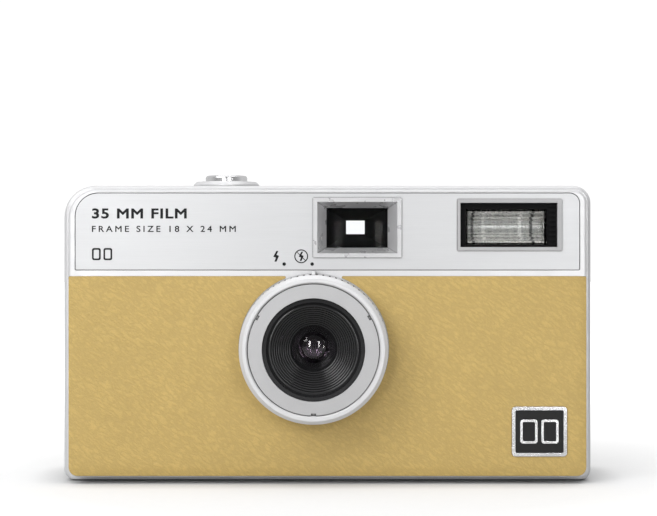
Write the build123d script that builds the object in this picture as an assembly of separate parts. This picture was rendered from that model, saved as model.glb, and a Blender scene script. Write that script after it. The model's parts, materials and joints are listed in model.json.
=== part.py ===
from build123d import *
from math import atan2, degrees
import os

# Half frame camera. X runs to the right as seen from the front, -Y is the front, +Z is up.
# The origin is the centre of the base. All sizes are in millimetres.

# ---- overall sizes ----
WIDTH = 110.0
HEIGHT = 61.6
FRONT_Y = -15.0          # front face of the cover
PARTING_Y = -10.0        # where the front cover meets the body shell
BACK_Y = 15.0            # outside of the back
WALL = 1.6               # walls of the cover, the shell and the door
GAP = 0.1                # assembly gap between fixed pieces
RUNNING = 0.05           # radial clearance of shafts in their bores

# ---- outline of the front cover ----
COVER_INSET_SIDE = 1.6
COVER_INSET_TOP = 1.0
COVER_INSET_BOTTOM = 1.4
BODY_RADII = (2.4, 2.4, 3.6, 6.5)      # bottom left, bottom right, top right, top left
COVER_RADII = (2.0, 2.0, 2.7, 6.0)
EDGE_ROUND = 0.6
BODY_EDGE_ROUND = 0.8

# ---- face plate and leatherette ----
PLATE_SIDE = 1.5         # silver rim left of and right of the plate
PLATE_TOP = 0.75
PLATE_HEIGHT = 15.8
PLATE_THICK = 0.6
PLATE_RADII = (0.2, 0.2, 2.1, 4.8)
STRIP = 1.3              # silver strip between plate and leatherette
LEATHER_THICK = 0.6
LEATHER_PROUD = 0.1
LEATHER_SIDE = 0.1
LEATHER_BOTTOM = 0.2
LEATHER_RADII = (1.9, 1.9, 0.3, 0.3)
LEATHER_TIP = 0.22       # rounding of the sharp tips beside the lens ring

# ---- outline and plate, worked out ----
HALF = WIDTH / 2
COVER_LEFT = -HALF + COVER_INSET_SIDE
COVER_RIGHT = HALF - COVER_INSET_SIDE
COVER_BOTTOM = COVER_INSET_BOTTOM
COVER_TOP = HEIGHT - COVER_INSET_TOP
INNER_TOP = HEIGHT - WALL
PLATE_HIGH = COVER_TOP - PLATE_TOP
PLATE_LOW = PLATE_HIGH - PLATE_HEIGHT
LEATHER_HIGH = PLATE_LOW - STRIP

# ---- badge ----
BADGE_X = COVER_RIGHT - 9.8
BADGE_Z = COVER_BOTTOM + 9.4
BADGE_WIDTH = 11.3
BADGE_HEIGHT = 10.2
BADGE_RIM = 0.7
BADGE_PROUD = 0.35
BADGE_ROUND = 0.7

# ---- lens and flash mode ring ----
LENS_X = -2.8
LENS_Z = LEATHER_HIGH - 14.75
RING_RADIUS = 15.2
RING_FRONT_RADIUS = 14.7
RING_FRONT_Y = -23.5
RING_HOLE = 15.5         # radius of the hole in the leatherette
RING_LIFT = 0.3          # ring to cover
BOSS_RADIUS = 12.6
BOSS_BORE = 11.15
BOSS_END_Y = -21.7
BEZEL_RADIUS = 13.2
BEZEL_INNER = 10.4
BEZEL_FRONT_Y = -23.3
KNURL_COUNT = 72
KNURL_GROOVE = 0.2
POINTER_HEIGHT = 0.7
NOTCH_ANGLES = (30, 150, 270)
CONE_STEPS = 10
CONE_OUTER = 9.1         # radius of the first rib
CONE_INNER = 4.7         # radius of the last rib
CONE_FRONT_Y = -22.9
CONE_MOUTH_Y = -22.3
CONE_FLOOR_Y = -16.2
GLASS_SEAT_Y = -14.6
GLASS_RADIUS = 3.2
BARREL_RADIUS = 4.6
BARREL_END_Y = -11.0
APERTURE_RADIUS = 1.15

# ---- shutter ----
SHUTTER_HALF_WIDTH = 11.0
SHUTTER_HALF_HEIGHT = 9.0
SHUTTER_PLATE = 0.4
SHUTTER_DEPTH = 3.2
SHUTTER_FLOOR = 0.8
SHUTTER_HOLE = 3.2
BLADE_THICK = 0.4
BLADE_PIVOT_X = -8.0     # from the lens axis
BLADE_PIVOT_Z = 4.0
BLADE_REACH = 3.6        # radius of the disc that covers the hole
BLADE_ARM = 2.4          # width of the arm from the pivot to the disc
PIVOT_PIN = 0.7

# ---- film path ----
FILM_Z = LENS_Z - 0.6
FILM_PLANE_Y = 10.0
FRAME_WIDTH = 18.0       # half frame, upright
FRAME_HEIGHT = 24.0
FILM_WIDTH = 35.0
RAIL_WIDTH = 1.0
CHAMBER_HEIGHT = 43.0
CHAMBER_LOW = FILM_Z - CHAMBER_HEIGHT / 2
CHAMBER_HIGH = FILM_Z + CHAMBER_HEIGHT / 2
CHAMBER_REAR_Y = 9.5
CHASSIS_WALL = 1.2
SHELF_THICK = 1.0
SHELF_LOW = CHAMBER_LOW - SHELF_THICK
SHELF_REAR_Y = 12.2
CHASSIS_FRONT_Y = FRONT_Y + WALL + GAP
CHASSIS_SIDE = HALF - 3.3
CASSETTE_X = 38.2
CASSETTE_Y = 0.3
CASSETTE_BORE = 12.9
SPOOL_X = -38.0
SPOOL_Y = 2.0
SPOOL_BORE = 11.9
SPOOL_CORE = 5.5
SPOOL_SHAFT = 1.8
SPOOL_PIN = 1.0
SPROCKET_X = -18.1
SPROCKET_Y = 4.0
SPROCKET_RIM = 5.9
SPROCKET_TOOTH = 0.65
SPROCKET_TEETH = 8
SPROCKET_BODY = 3.5
SPROCKET_ROOM = 7.0
PERFORATION = 14.1       # from the film's middle to each row of holes
LIGHT_BOX_FRONT_Y = -6.4
LIGHT_BOX_MOUTH = 8.0
LIGHT_BOX_WALL = 1.0
FILM_PLATE_THICK = 1.1

# ---- wind-on wheel and frame counter ----
WHEEL_RADIUS = 13.5
WHEEL_THICK = 3.6
WHEEL_Z = CHAMBER_HIGH + 3.1
WHEEL_TEETH = 60
WHEEL_SLOT_GAP = 0.5
DIAL_RADIUS = 8.5
DIAL_THICK = 1.0
DIAL_Z = INNER_TOP - 2.6
DIAL_STUB = 1.0
COUNTER_Y = -4.3
COUNTER_WIDTH = 5.0
COUNTER_DEPTH = 3.4

# ---- shutter button ----
BUTTON_X = -21.6
BUTTON_Y = -1.0
COLLAR_RADIUS = 7.0
COLLAR_HEIGHT = 1.1
COLLAR_BORE = 4.7
BUTTON_RADIUS = 4.45
BUTTON_TOP = HEIGHT + 2.45
BUTTON_SKIRT_Z = HEIGHT - 0.7
BUTTON_DOME = 0.55
BUTTON_STEM = 1.5
STEM_END_Z = CHAMBER_HIGH + 2.6
POST_RADIUS = 2.6
POST_TOP = CHAMBER_HIGH + 6.1
LEVER_THICK = 0.6
LEVER_WIDTH = 1.5
LEVER_Z = INNER_TOP - 0.2 - LEVER_THICK
LEVER_FRONT_Y = -9.4
LEVER_FOOT_Z = LENS_Z + 5.0
SPRING_WIRE = 0.2        # radius of the wire of the small springs

# ---- viewfinder ----
FINDER_X = 6.15
FINDER_Z = PLATE_HIGH - 7.1
FINDER_WIDTH = 18.2
FINDER_HEIGHT = 12.3
FINDER_LIP = 0.85
FINDER_WINDOW_WIDTH = 12.7
FINDER_WINDOW_HEIGHT = 8.25
FINDER_PROUD = 0.3
FINDER_BACK_Y = -12.0
FINDER_WINDOW_Y = -12.8
FINDER_LENS_THICK = 2.0
FINDER_LENS_RADIUS = 30.0
FINDER_LENS_CUT = 1.0
TUNNEL_WALL = 0.8
TUNNEL_POCKET = 0.35
TUNNEL_REAR_Y = 12.2
EYE_Z = PLATE_HIGH - 6.55
EYE_WIDTH = 4.4
EYE_HEIGHT = 3.2
EYEPIECE_WIDTH = 10.0
EYEPIECE_HEIGHT = 6.2

# ---- flash ----
FLASH_X = 37.5
FLASH_Z = PLATE_HIGH - 6.55
FLASH_WIDTH = 21.5
FLASH_HEIGHT = 10.6
FLASH_LIP_LEFT = 0.6
FLASH_LIP_RIGHT = 0.95
FLASH_LIP_TOP = 0.75
FLASH_BACK_Y = FRONT_Y + WALL
FLASH_LENS_LEFT = FLASH_X - 8.95
FLASH_LENS_RIGHT = FLASH_X + 7.65
FLASH_LENS_BOTTOM = FLASH_Z - 4.05
FLASH_LENS_TOP = FLASH_Z + 3.25
FLASH_LENS_Y = -14.2
HOLDER_BACK_Y = FLASH_BACK_Y
LENS_RIBS = 9
REFLECTOR_BACK_Y = -8.2
REFLECTOR_WALL = 0.4
TUBE_RADIUS = 1.0
TUBE_Y = -10.4
BOARD_Z = CHAMBER_HIGH + 1.7
BOARD_THICK = 1.0
CAPACITOR_RADIUS = 3.6
READY_X = 20.0
READY_RADIUS = 1.5

# ---- back door ----
DOOR_TOP = CHAMBER_HIGH + 0.7
DOOR_THICK = 2.0
DOOR_GAP = 0.1
HINGE_X = -HALF + 1.6
HINGE_Y = 13.4
KNUCKLE_RADIUS = 1.5
HINGE_PIN = 0.6
HINGE_LOW = 3.6
HINGE_HIGH = DOOR_TOP - 1.2
KNUCKLE_LOW = HINGE_LOW + 8.2       # ends of the door's own knuckle
KNUCKLE_HIGH = HINGE_HIGH - 8.2
KNUCKLE_GAP = 0.2
WINDOW_X = 38.0
WINDOW_WIDTH = 8.0
WINDOW_HEIGHT = 16.0
PRESSURE_WIDTH = 24.0
PRESSURE_THICK = 1.0
PRESSURE_LIFT = 0.4      # pressure plate to film plane
PRESSURE_PIN = 1.0
PRESSURE_PIN_SPAN = 12.0
SEAL_DEPTH = 0.8
LATCH_Z = DOOR_TOP / 2 + 3.2
LATCH_THICK = 1.0
LATCH_KNOB = 10.0
LATCH_TRAVEL = 2.0

# ---- base ----
KNOB_RADIUS = 8.3
KNOB_RECESS = 0.4
KNOB_THICK = 3.6
KNOB_CLEAR = 0.3
CRANK_THICK = 1.6
CRANK_WIDTH = 4.0
CRANK_PIVOT = 5.2        # from the knob's axis
CRANK_REACH = 11.6
CRANK_PIN = 0.4
FORK_RADIUS = 2.5
FORK_TOP = CHAMBER_LOW + 3.6
RELEASE_X = -18.1
RELEASE_Y = -4.0
RELEASE_RADIUS = 2.2
BATTERY_X = 15.8
BATTERY_Y = -2.5
BATTERY_BORE = 5.6
BATTERY_WALL = 0.8
BATTERY_TOP = 47.0
BATTERY_DOOR_HALF = 6.1
BATTERY_DOOR_THICK = 1.4
BATTERY_HINGE = 0.8      # radius of the battery door's barrel
CONTACT_HALF = 3.2
CONTACT_THICK = 0.3
SCREW_X = HALF - 6.0
SCREW_PLACES = ((-SCREW_X, -7.5), (-SCREW_X, 8.5), (SCREW_X, -7.5), (SCREW_X, 8.5))
SCREW_RADIUS = 1.0
SCREW_HEAD = 1.7
PILLAR_RADIUS = 2.2

# ---- strap bar ----
STRAP_LOW = HEIGHT - 19.6
STRAP_HIGH = HEIGHT - 11.6
STRAP_FRONT_Y = -9.0
STRAP_REAR_Y = -4.0
STRAP_DEPTH = 2.4
STRAP_BAR = 0.8

# ---- worked out from the above ----
DOOR_FRONT_Y = BACK_Y - DOOR_THICK
SHUTTER_FRONT_Y = BARREL_END_Y + SHUTTER_PLATE
SHUTTER_REAR_Y = SHUTTER_FRONT_Y + SHUTTER_DEPTH
KNOB_TOP = KNOB_RECESS + KNOB_THICK


def block(x0, x1, y0, y1, z0, z1):
    """Box between two corners."""
    size = Box(x1 - x0, y1 - y0, z1 - z0)
    return Pos((x0 + x1) / 2, (y0 + y1) / 2, (z0 + z1) / 2) * size


def post(x, y, z0, z1, radius):
    """Cylinder that stands along Z."""
    return Pos(x, y, (z0 + z1) / 2) * Cylinder(radius, z1 - z0)


def barrel(x, z, y0, y1, radius):
    """Cylinder that lies along Y."""
    return Pos(x, (y0 + y1) / 2, z) * Rot(90, 0, 0) * Cylinder(radius, y1 - y0)


def bar(y, z, x0, x1, radius):
    """Cylinder that lies along X."""
    return Pos((x0 + x1) / 2, y, z) * Rot(0, 90, 0) * Cylinder(radius, x1 - x0)


def slab(left, right, low, high, front, back, radii):
    """Plate across Y whose four corners have their own radii."""
    corners = [(left, 0, low), (right, 0, low), (right, 0, high), (left, 0, high)]
    outline = FilletPolyline(*corners, radius=list(radii), close=True)
    face = Pos(0, back, 0) * make_face(outline)
    return extrude(face, amount=back - front, dir=(0, -1, 0))


def turned(profile, x, z):
    """Solid turned about a Y axis from (radius, y) points."""
    face = make_face(Polyline(*profile, close=True))
    return Pos(x, 0, z) * revolve(face, Axis.Y)


def funnel(x0, z0, wide0, high0, y0, x1, z1, wide1, high1, y1):
    """Straight taper between two rectangles that face along Y."""
    front = Plane((x0, y0, z0), x_dir=(1, 0, 0), z_dir=(0, 1, 0)) * Rectangle(wide0, high0)
    back = Plane((x1, y1, z1), x_dir=(1, 0, 0), z_dir=(0, 1, 0)) * Rectangle(wide1, high1)
    return loft([front, back])


def coil(x, y, z0, z1, radius, turns):
    """Compression spring that stands along Z."""
    height = z1 - z0 - 2 * SPRING_WIRE
    path = Pos(x, y, z0 + SPRING_WIRE) * Helix(height / turns, height, radius)
    section = Plane(path @ 0, z_dir=path % 0) * Circle(SPRING_WIRE)
    return sweep(section, path=path)


def grooved_disc(radius, count, groove, height):
    """Disc with round grooves about its rim, standing on the XY plane."""
    cuts = [place * Circle(groove) for place in PolarLocations(radius, count)]
    return extrude(Circle(radius) - cuts, amount=height)


# ---------------------------------------------------------------- front

def lens_post(radius, front, back):
    """Cylinder on the lens axis."""
    return barrel(LENS_X, LENS_Z, front, back, radius)


def finder_block(margin, front, back):
    """Block as large as the viewfinder frame."""
    half_w = FINDER_WIDTH / 2 + margin
    half_h = FINDER_HEIGHT / 2 + margin
    return block(FINDER_X - half_w, FINDER_X + half_w, front, back, FINDER_Z - half_h, FINDER_Z + half_h)


def flash_block(margin, front, back):
    """Block as large as the flash frame."""
    half_w = FLASH_WIDTH / 2 + margin
    half_h = FLASH_HEIGHT / 2 + margin
    return block(FLASH_X - half_w, FLASH_X + half_w, front, back, FLASH_Z - half_h, FLASH_Z + half_h)


def badge_slab(margin, front, back, rounding):
    """Plate as large as the badge."""
    half_w = BADGE_WIDTH / 2 + margin
    half_h = BADGE_HEIGHT / 2 + margin
    sides = (BADGE_X - half_w, BADGE_X + half_w, BADGE_Z - half_h, BADGE_Z + half_h)
    return slab(*sides, front, back, (rounding,) * 4)


def plate_slab(margin, front, back):
    """Plate as large as the face plate."""
    radii = [radius + margin for radius in PLATE_RADII]
    left = COVER_LEFT + PLATE_SIDE - margin
    right = COVER_RIGHT - PLATE_SIDE + margin
    return slab(left, right, PLATE_LOW - margin, PLATE_HIGH + margin, front, back, radii)


def leather_blank(front, back):
    """Leatherette as it is cut round the lens ring."""
    left = COVER_LEFT + LEATHER_SIDE
    right = COVER_RIGHT - LEATHER_SIDE
    low = COVER_BOTTOM + LEATHER_BOTTOM
    blank = slab(left, right, low, LEATHER_HIGH, front, back, LEATHER_RADII)
    blank -= lens_post(RING_HOLE, front - 1, back + 1)
    near_ring = blank.edges().filter_by(Axis.Y).sort_by(Axis.Z)[-6:]
    tips = near_ring.sort_by(lambda edge: abs(edge.center().X - LENS_X))[:2]
    return fillet(tips, LEATHER_TIP)


def front_cover():
    outer = slab(COVER_LEFT, COVER_RIGHT, COVER_BOTTOM, COVER_TOP, FRONT_Y, PARTING_Y, COVER_RADII)
    outer = fillet(outer.faces().sort_by(Axis.Y)[0].edges(), EDGE_ROUND)
    inner_radii = [radius - WALL / 2 for radius in COVER_RADII]
    inner = slab(COVER_LEFT + WALL, COVER_RIGHT - WALL, COVER_BOTTOM + WALL, COVER_TOP - WALL,
                 FRONT_Y + WALL, PARTING_Y + 1, inner_radii)
    cover = outer - inner
    cover -= plate_slab(GAP, FRONT_Y - 1, FRONT_Y + PLATE_THICK)
    cover -= leather_blank(FRONT_Y - 1, FRONT_Y + LEATHER_THICK)
    cover += lens_post(BOSS_RADIUS, BOSS_END_Y, FRONT_Y + WALL)
    cover -= lens_post(BOSS_BORE, BOSS_END_Y - 1, PARTING_Y)
    cover -= finder_block(GAP / 2, FRONT_Y - 1, PARTING_Y)
    cover -= flash_block(GAP / 2, FRONT_Y - 1, PARTING_Y)
    return cover


def face_plate():
    plate = plate_slab(-GAP / 2, FRONT_Y, FRONT_Y + PLATE_THICK)
    plate -= finder_block(0, FRONT_Y - 1, PARTING_Y)
    plate -= flash_block(0, FRONT_Y - 1, PARTING_Y)
    return plate


def front_leatherette():
    skin = leather_blank(FRONT_Y - LEATHER_PROUD, FRONT_Y + LEATHER_THICK)
    return skin - badge_slab(0, FRONT_Y - 1, PARTING_Y, BADGE_ROUND)


def badge_frame():
    front = FRONT_Y - BADGE_PROUD
    back = FRONT_Y + LEATHER_THICK
    rim = badge_slab(0, front, back, BADGE_ROUND)
    return rim - badge_slab(-BADGE_RIM, front - 1, back + 1, BADGE_RIM / 2)


def badge_inlay():
    front = FRONT_Y - BADGE_PROUD + GAP
    return badge_slab(-BADGE_RIM, front, FRONT_Y + LEATHER_THICK, BADGE_RIM / 2)


# ---------------------------------------------------------------- lens

def flash_ring():
    """Turning ring that selects flash on or flash off."""
    back = FRONT_Y - RING_LIFT
    step = BOSS_END_Y + GAP
    shoulder = back - 2.0
    chamfer = 0.35
    wide = BEZEL_RADIUS + GAP
    ring = turned([
        (BOSS_RADIUS + RUNNING, back), (RING_RADIUS, back), (RING_RADIUS, shoulder),
        (RING_FRONT_RADIUS + chamfer, RING_FRONT_Y + 2 * chamfer),
        (RING_FRONT_RADIUS - chamfer, RING_FRONT_Y),
        (wide + chamfer, RING_FRONT_Y), (wide, RING_FRONT_Y + chamfer),
        (wide, step), (BOSS_RADIUS + RUNNING, step)], LENS_X, LENS_Z)
    groove = barrel(0, 0, RING_FRONT_Y + 1.2, shoulder + 0.6, KNURL_GROOVE)
    reach = (RING_RADIUS + RING_FRONT_RADIUS) / 2 + KNURL_GROOVE / 2
    for index in range(KNURL_COUNT):
        turn = Rot(0, 360 * (index + 0.5) / KNURL_COUNT, 0)
        ring -= Pos(LENS_X, 0, LENS_Z) * turn * Pos(0, 0, reach) * groove
    ring += block(LENS_X - 0.35, LENS_X + 0.35, RING_FRONT_Y + 0.8, back,
                  LENS_Z + RING_FRONT_RADIUS - 0.5, LENS_Z + RING_RADIUS + POINTER_HEIGHT)
    return ring


def lens_bezel():
    """Fixed ring that keeps the mode ring on its boss."""
    ring = lens_post(BEZEL_RADIUS, BEZEL_FRONT_Y, BOSS_END_Y)
    ring -= lens_post(BEZEL_INNER, BEZEL_FRONT_Y - 1, PARTING_Y)
    for angle in NOTCH_ANGLES:
        notch = Pos(BEZEL_RADIUS, 0, 0) * Box(0.9, 1.2, 1.0)
        ring -= Pos(LENS_X, BEZEL_FRONT_Y, LENS_Z) * Rot(0, -angle, 0) * notch
    return ring


def lens_cone():
    """Black ribbed cone with the barrel that holds the front lens."""
    inside = [(CONE_OUTER + 0.5, CONE_FRONT_Y), (CONE_OUTER, CONE_MOUTH_Y)]
    step_r = (CONE_OUTER - CONE_INNER) / CONE_STEPS
    step_y = (CONE_FLOOR_Y - CONE_MOUTH_Y) / CONE_STEPS
    for index in range(CONE_STEPS):
        radius = CONE_OUTER - step_r * index
        depth = CONE_MOUTH_Y + step_y * (index + 1)
        inside += [(radius, depth), (radius - step_r, depth - step_y / 4)]
    inside += [(GLASS_RADIUS - 0.1, GLASS_SEAT_Y), (GLASS_RADIUS, GLASS_SEAT_Y), (GLASS_RADIUS, BARREL_END_Y)]
    flange = BOSS_END_Y + 1.8
    outside = [(BARREL_RADIUS, BARREL_END_Y), (BARREL_RADIUS, GLASS_SEAT_Y), (BOSS_BORE - RUNNING, flange),
               (BOSS_BORE - RUNNING, BOSS_END_Y), (BEZEL_INNER - RUNNING, BOSS_END_Y),
               (BEZEL_INNER - RUNNING, CONE_FRONT_Y)]
    return turned(inside + outside, LENS_X, LENS_Z)


def round_lens(front, thick, radius, bulge):
    """Lens with two bulging faces."""
    back = front + thick
    curve = (radius ** 2 + bulge ** 2) / (2 * bulge)
    half = radius / 2
    sag = curve - (curve ** 2 - half ** 2) ** 0.5
    near = ThreePointArc((0, front), (half, front + sag), (radius, front + bulge))
    edge = Line((radius, front + bulge), (radius, back - bulge))
    far = ThreePointArc((radius, back - bulge), (half, back - sag), (0, back))
    middle = Line((0, back), (0, front))
    return Pos(LENS_X, 0, LENS_Z) * revolve(make_face([near, edge, far, middle]), Axis.Y)


def front_lens():
    return round_lens(GLASS_SEAT_Y + 0.1, 2.4, GLASS_RADIUS - 0.02, 0.7)


def rear_lens():
    return round_lens(SHUTTER_REAR_Y + 0.05, 1.2, GLASS_RADIUS - 0.2, 0.35)


def shutter_block(front, back, margin):
    """Block as large as the shutter housing."""
    half_w = SHUTTER_HALF_WIDTH - margin
    half_h = SHUTTER_HALF_HEIGHT - margin
    return block(LENS_X - half_w, LENS_X + half_w, front, back, LENS_Z - half_h, LENS_Z + half_h)


def aperture_plate():
    plate = shutter_block(BARREL_END_Y, SHUTTER_FRONT_Y, 0)
    return plate - lens_post(APERTURE_RADIUS, BARREL_END_Y - 1, SHUTTER_FRONT_Y + 1)


def shutter_housing():
    floor = SHUTTER_REAR_Y - SHUTTER_FLOOR
    housing = shutter_block(SHUTTER_FRONT_Y, SHUTTER_REAR_Y, 0)
    housing -= shutter_block(SHUTTER_FRONT_Y - 1, floor, 1.0)
    housing -= lens_post(SHUTTER_HOLE, SHUTTER_FRONT_Y, SHUTTER_REAR_Y + 1)
    pin_x = LENS_X + BLADE_PIVOT_X
    pin_z = LENS_Z + BLADE_PIVOT_Z
    return housing + barrel(pin_x, pin_z, SHUTTER_FRONT_Y, floor + GAP, PIVOT_PIN)


def shutter_blade():
    """Thin blade that swings down and lets light through the hole."""
    back = SHUTTER_REAR_Y - SHUTTER_FLOOR - GAP
    front = back - BLADE_THICK
    pin_x = LENS_X + BLADE_PIVOT_X
    pin_z = LENS_Z + BLADE_PIVOT_Z
    blade = lens_post(BLADE_REACH, front, back) + barrel(pin_x, pin_z, front, back, 1.8)
    reach = Vector(BLADE_PIVOT_X, 0, BLADE_PIVOT_Z)
    slope = degrees(atan2(BLADE_PIVOT_Z, BLADE_PIVOT_X))
    arm = Rot(0, -slope, 0) * Pos(reach.length / 2, 0, 0) * Box(reach.length, BLADE_THICK, BLADE_ARM)
    blade += Pos(LENS_X, (front + back) / 2, LENS_Z) * arm
    return blade - barrel(pin_x, pin_z, front - 1, back + 1, PIVOT_PIN + RUNNING)


def blade_spring():
    """Coil about the blade's pin."""
    pin_x = LENS_X + BLADE_PIVOT_X
    pin_z = LENS_Z + BLADE_PIVOT_Z
    blade_front = SHUTTER_REAR_Y - SHUTTER_FLOOR - GAP - BLADE_THICK
    length = blade_front - SHUTTER_FRONT_Y - 0.15
    spring = coil(0, 0, 0, length, PIVOT_PIN + SPRING_WIRE + RUNNING, 2.5)
    return Pos(pin_x, SHUTTER_FRONT_Y, pin_z) * Rot(-90, 0, 0) * spring


# ---------------------------------------------------------------- viewfinder

def viewfinder_bezel():
    front = FRONT_Y - FINDER_PROUD
    frame = finder_block(0, front, FINDER_BACK_Y)
    mouth_w = FINDER_WIDTH - 2 * FINDER_LIP
    mouth_h = FINDER_HEIGHT - 2 * FINDER_LIP
    frame -= funnel(FINDER_X, FINDER_Z, mouth_w, mouth_h, front - 0.01,
                    FINDER_X, FINDER_Z, FINDER_WINDOW_WIDTH, FINDER_WINDOW_HEIGHT, FINDER_WINDOW_Y)
    half_w = FINDER_WINDOW_WIDTH / 2
    half_h = FINDER_WINDOW_HEIGHT / 2
    return frame - block(FINDER_X - half_w, FINDER_X + half_w, FINDER_WINDOW_Y - 0.01, FINDER_BACK_Y + 1,
                         FINDER_Z - half_h, FINDER_Z + half_h)


def viewfinder_front_lens():
    """Rectangular lens with a hollow front."""
    half_w = FINDER_WINDOW_WIDTH / 2 + TUNNEL_POCKET
    half_h = FINDER_WINDOW_HEIGHT / 2 + TUNNEL_POCKET
    back = FINDER_BACK_Y + FINDER_LENS_THICK
    lens = block(FINDER_X - half_w, FINDER_X + half_w, FINDER_BACK_Y, back,
                 FINDER_Z - half_h, FINDER_Z + half_h)
    ball = Sphere(FINDER_LENS_RADIUS)
    return lens - Pos(FINDER_X, FINDER_BACK_Y + FINDER_LENS_CUT - FINDER_LENS_RADIUS, FINDER_Z) * ball


def viewfinder_tunnel():
    """Black tunnel from the front lens to the eyepiece."""
    mouth_w = FINDER_WINDOW_WIDTH + 2 * TUNNEL_POCKET
    mouth_h = FINDER_WINDOW_HEIGHT + 2 * TUNNEL_POCKET
    seat = FINDER_BACK_Y + FINDER_LENS_THICK
    wide = mouth_w / 2 + TUNNEL_WALL
    high = mouth_h / 2 + TUNNEL_WALL
    collar = block(FINDER_X - wide, FINDER_X + wide, FINDER_BACK_Y, seat, FINDER_Z - high, FINDER_Z + high)
    collar -= block(FINDER_X - mouth_w / 2, FINDER_X + mouth_w / 2, FINDER_BACK_Y - 1, seat + 1,
                    FINDER_Z - mouth_h / 2, FINDER_Z + mouth_h / 2)
    outside = funnel(FINDER_X, FINDER_Z, 2 * wide, 2 * high, seat,
                     FINDER_X, EYE_Z, EYE_WIDTH + 2 * TUNNEL_WALL, EYE_HEIGHT + 2 * TUNNEL_WALL,
                     TUNNEL_REAR_Y)
    inside = funnel(FINDER_X, FINDER_Z, FINDER_WINDOW_WIDTH, FINDER_WINDOW_HEIGHT, seat - 0.01,
                    FINDER_X, EYE_Z, EYE_WIDTH, EYE_HEIGHT, TUNNEL_REAR_Y + 0.01)
    return collar + (outside - inside)


def eyepiece_block(margin, front, back):
    """Block as large as the eyepiece frame."""
    half_w = EYEPIECE_WIDTH / 2 + margin
    half_h = EYEPIECE_HEIGHT / 2 + margin
    return block(FINDER_X - half_w, FINDER_X + half_w, front, back, EYE_Z - half_h, EYE_Z + half_h)


def eyepiece_frame():
    frame = eyepiece_block(0, TUNNEL_REAR_Y, BACK_Y + 0.3)
    frame -= funnel(FINDER_X, EYE_Z, EYE_WIDTH, EYE_HEIGHT, TUNNEL_REAR_Y - 0.01,
                    FINDER_X, EYE_Z, EYE_WIDTH + 2.4, EYE_HEIGHT + 1.6, BACK_Y + 0.31)
    return frame - eyepiece_block(-1.2, TUNNEL_REAR_Y - 0.01, TUNNEL_REAR_Y + 1.0)


def viewfinder_eye_lens():
    return eyepiece_block(-1.2, TUNNEL_REAR_Y, TUNNEL_REAR_Y + 1.0)


# ---------------------------------------------------------------- flash

def flash_bezel():
    front = FRONT_Y - FINDER_PROUD
    frame = flash_block(0, front, FLASH_BACK_Y)
    left = FLASH_X - FLASH_WIDTH / 2 + FLASH_LIP_LEFT
    right = FLASH_X + FLASH_WIDTH / 2 - FLASH_LIP_RIGHT
    low = FLASH_Z - FLASH_HEIGHT / 2 + FLASH_LIP_TOP
    high = FLASH_Z + FLASH_HEIGHT / 2 - FLASH_LIP_TOP
    return frame - block(left, right, front - 1, FLASH_BACK_Y + 1, low, high)


def flash_holder():
    """Black tray round the flash lens, ribbed at its right end."""
    left = FLASH_X - FLASH_WIDTH / 2 + FLASH_LIP_LEFT + GAP / 2
    right = FLASH_X + FLASH_WIDTH / 2 - FLASH_LIP_RIGHT - GAP / 2
    low = FLASH_Z - FLASH_HEIGHT / 2 + FLASH_LIP_TOP + GAP / 2
    high = FLASH_Z + FLASH_HEIGHT / 2 - FLASH_LIP_TOP - GAP / 2
    tray = block(left, right, FLASH_LENS_Y, HOLDER_BACK_Y, low, high)
    pitch = (high - low) / LENS_RIBS
    for index in range(LENS_RIBS):
        middle = low + pitch * (index + 0.5)
        tray += block(FLASH_LENS_RIGHT + 0.3, right, FLASH_LENS_Y - 0.3, FLASH_LENS_Y,
                      middle - pitch / 4, middle + pitch / 4)
    return tray - block(FLASH_LENS_LEFT, FLASH_LENS_RIGHT, FLASH_LENS_Y - 1, HOLDER_BACK_Y + 1,
                        FLASH_LENS_BOTTOM, FLASH_LENS_TOP)


def flash_lens():
    """Clear window with rounded ribs across its front."""
    lens = block(FLASH_LENS_LEFT, FLASH_LENS_RIGHT, FLASH_LENS_Y, HOLDER_BACK_Y,
                 FLASH_LENS_BOTTOM, FLASH_LENS_TOP)
    pitch = (FLASH_LENS_TOP - FLASH_LENS_BOTTOM) / LENS_RIBS
    for index in range(LENS_RIBS):
        middle = FLASH_LENS_BOTTOM + pitch * (index + 0.5)
        lens += bar(FLASH_LENS_Y, middle, FLASH_LENS_LEFT, FLASH_LENS_RIGHT, pitch / 2 - 0.04)
    return lens


def reflector_trough(inset):
    """Trough that narrows towards the flash tube."""
    middle = (FLASH_LENS_BOTTOM + FLASH_LENS_TOP) / 2
    mouth = (FLASH_LENS_TOP - FLASH_LENS_BOTTOM) / 2 - inset
    throat = 1.9 - inset
    front = HOLDER_BACK_Y
    back = REFLECTOR_BACK_Y - inset
    bend = front + 2.2
    points = [(0, front, middle - mouth), (0, bend, middle - mouth * 0.72), (0, back, middle - throat),
              (0, back, middle + throat), (0, bend, middle + mouth * 0.72), (0, front, middle + mouth)]
    face = make_face(Polyline(*points, close=True))
    left = FLASH_LENS_LEFT + inset
    return extrude(Pos(left, 0, 0) * face, amount=FLASH_LENS_RIGHT - inset - left, dir=(1, 0, 0))


def flash_reflector():
    shell = reflector_trough(0) - reflector_trough(REFLECTOR_WALL)
    middle = (FLASH_LENS_BOTTOM + FLASH_LENS_TOP) / 2
    mouth = block(FLASH_LENS_LEFT + REFLECTOR_WALL, FLASH_LENS_RIGHT - REFLECTOR_WALL,
                  HOLDER_BACK_Y - 1, HOLDER_BACK_Y + REFLECTOR_WALL,
                  middle - (FLASH_LENS_TOP - FLASH_LENS_BOTTOM) / 2 + 0.6,
                  middle + (FLASH_LENS_TOP - FLASH_LENS_BOTTOM) / 2 - 0.6)
    return shell - mouth


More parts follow.
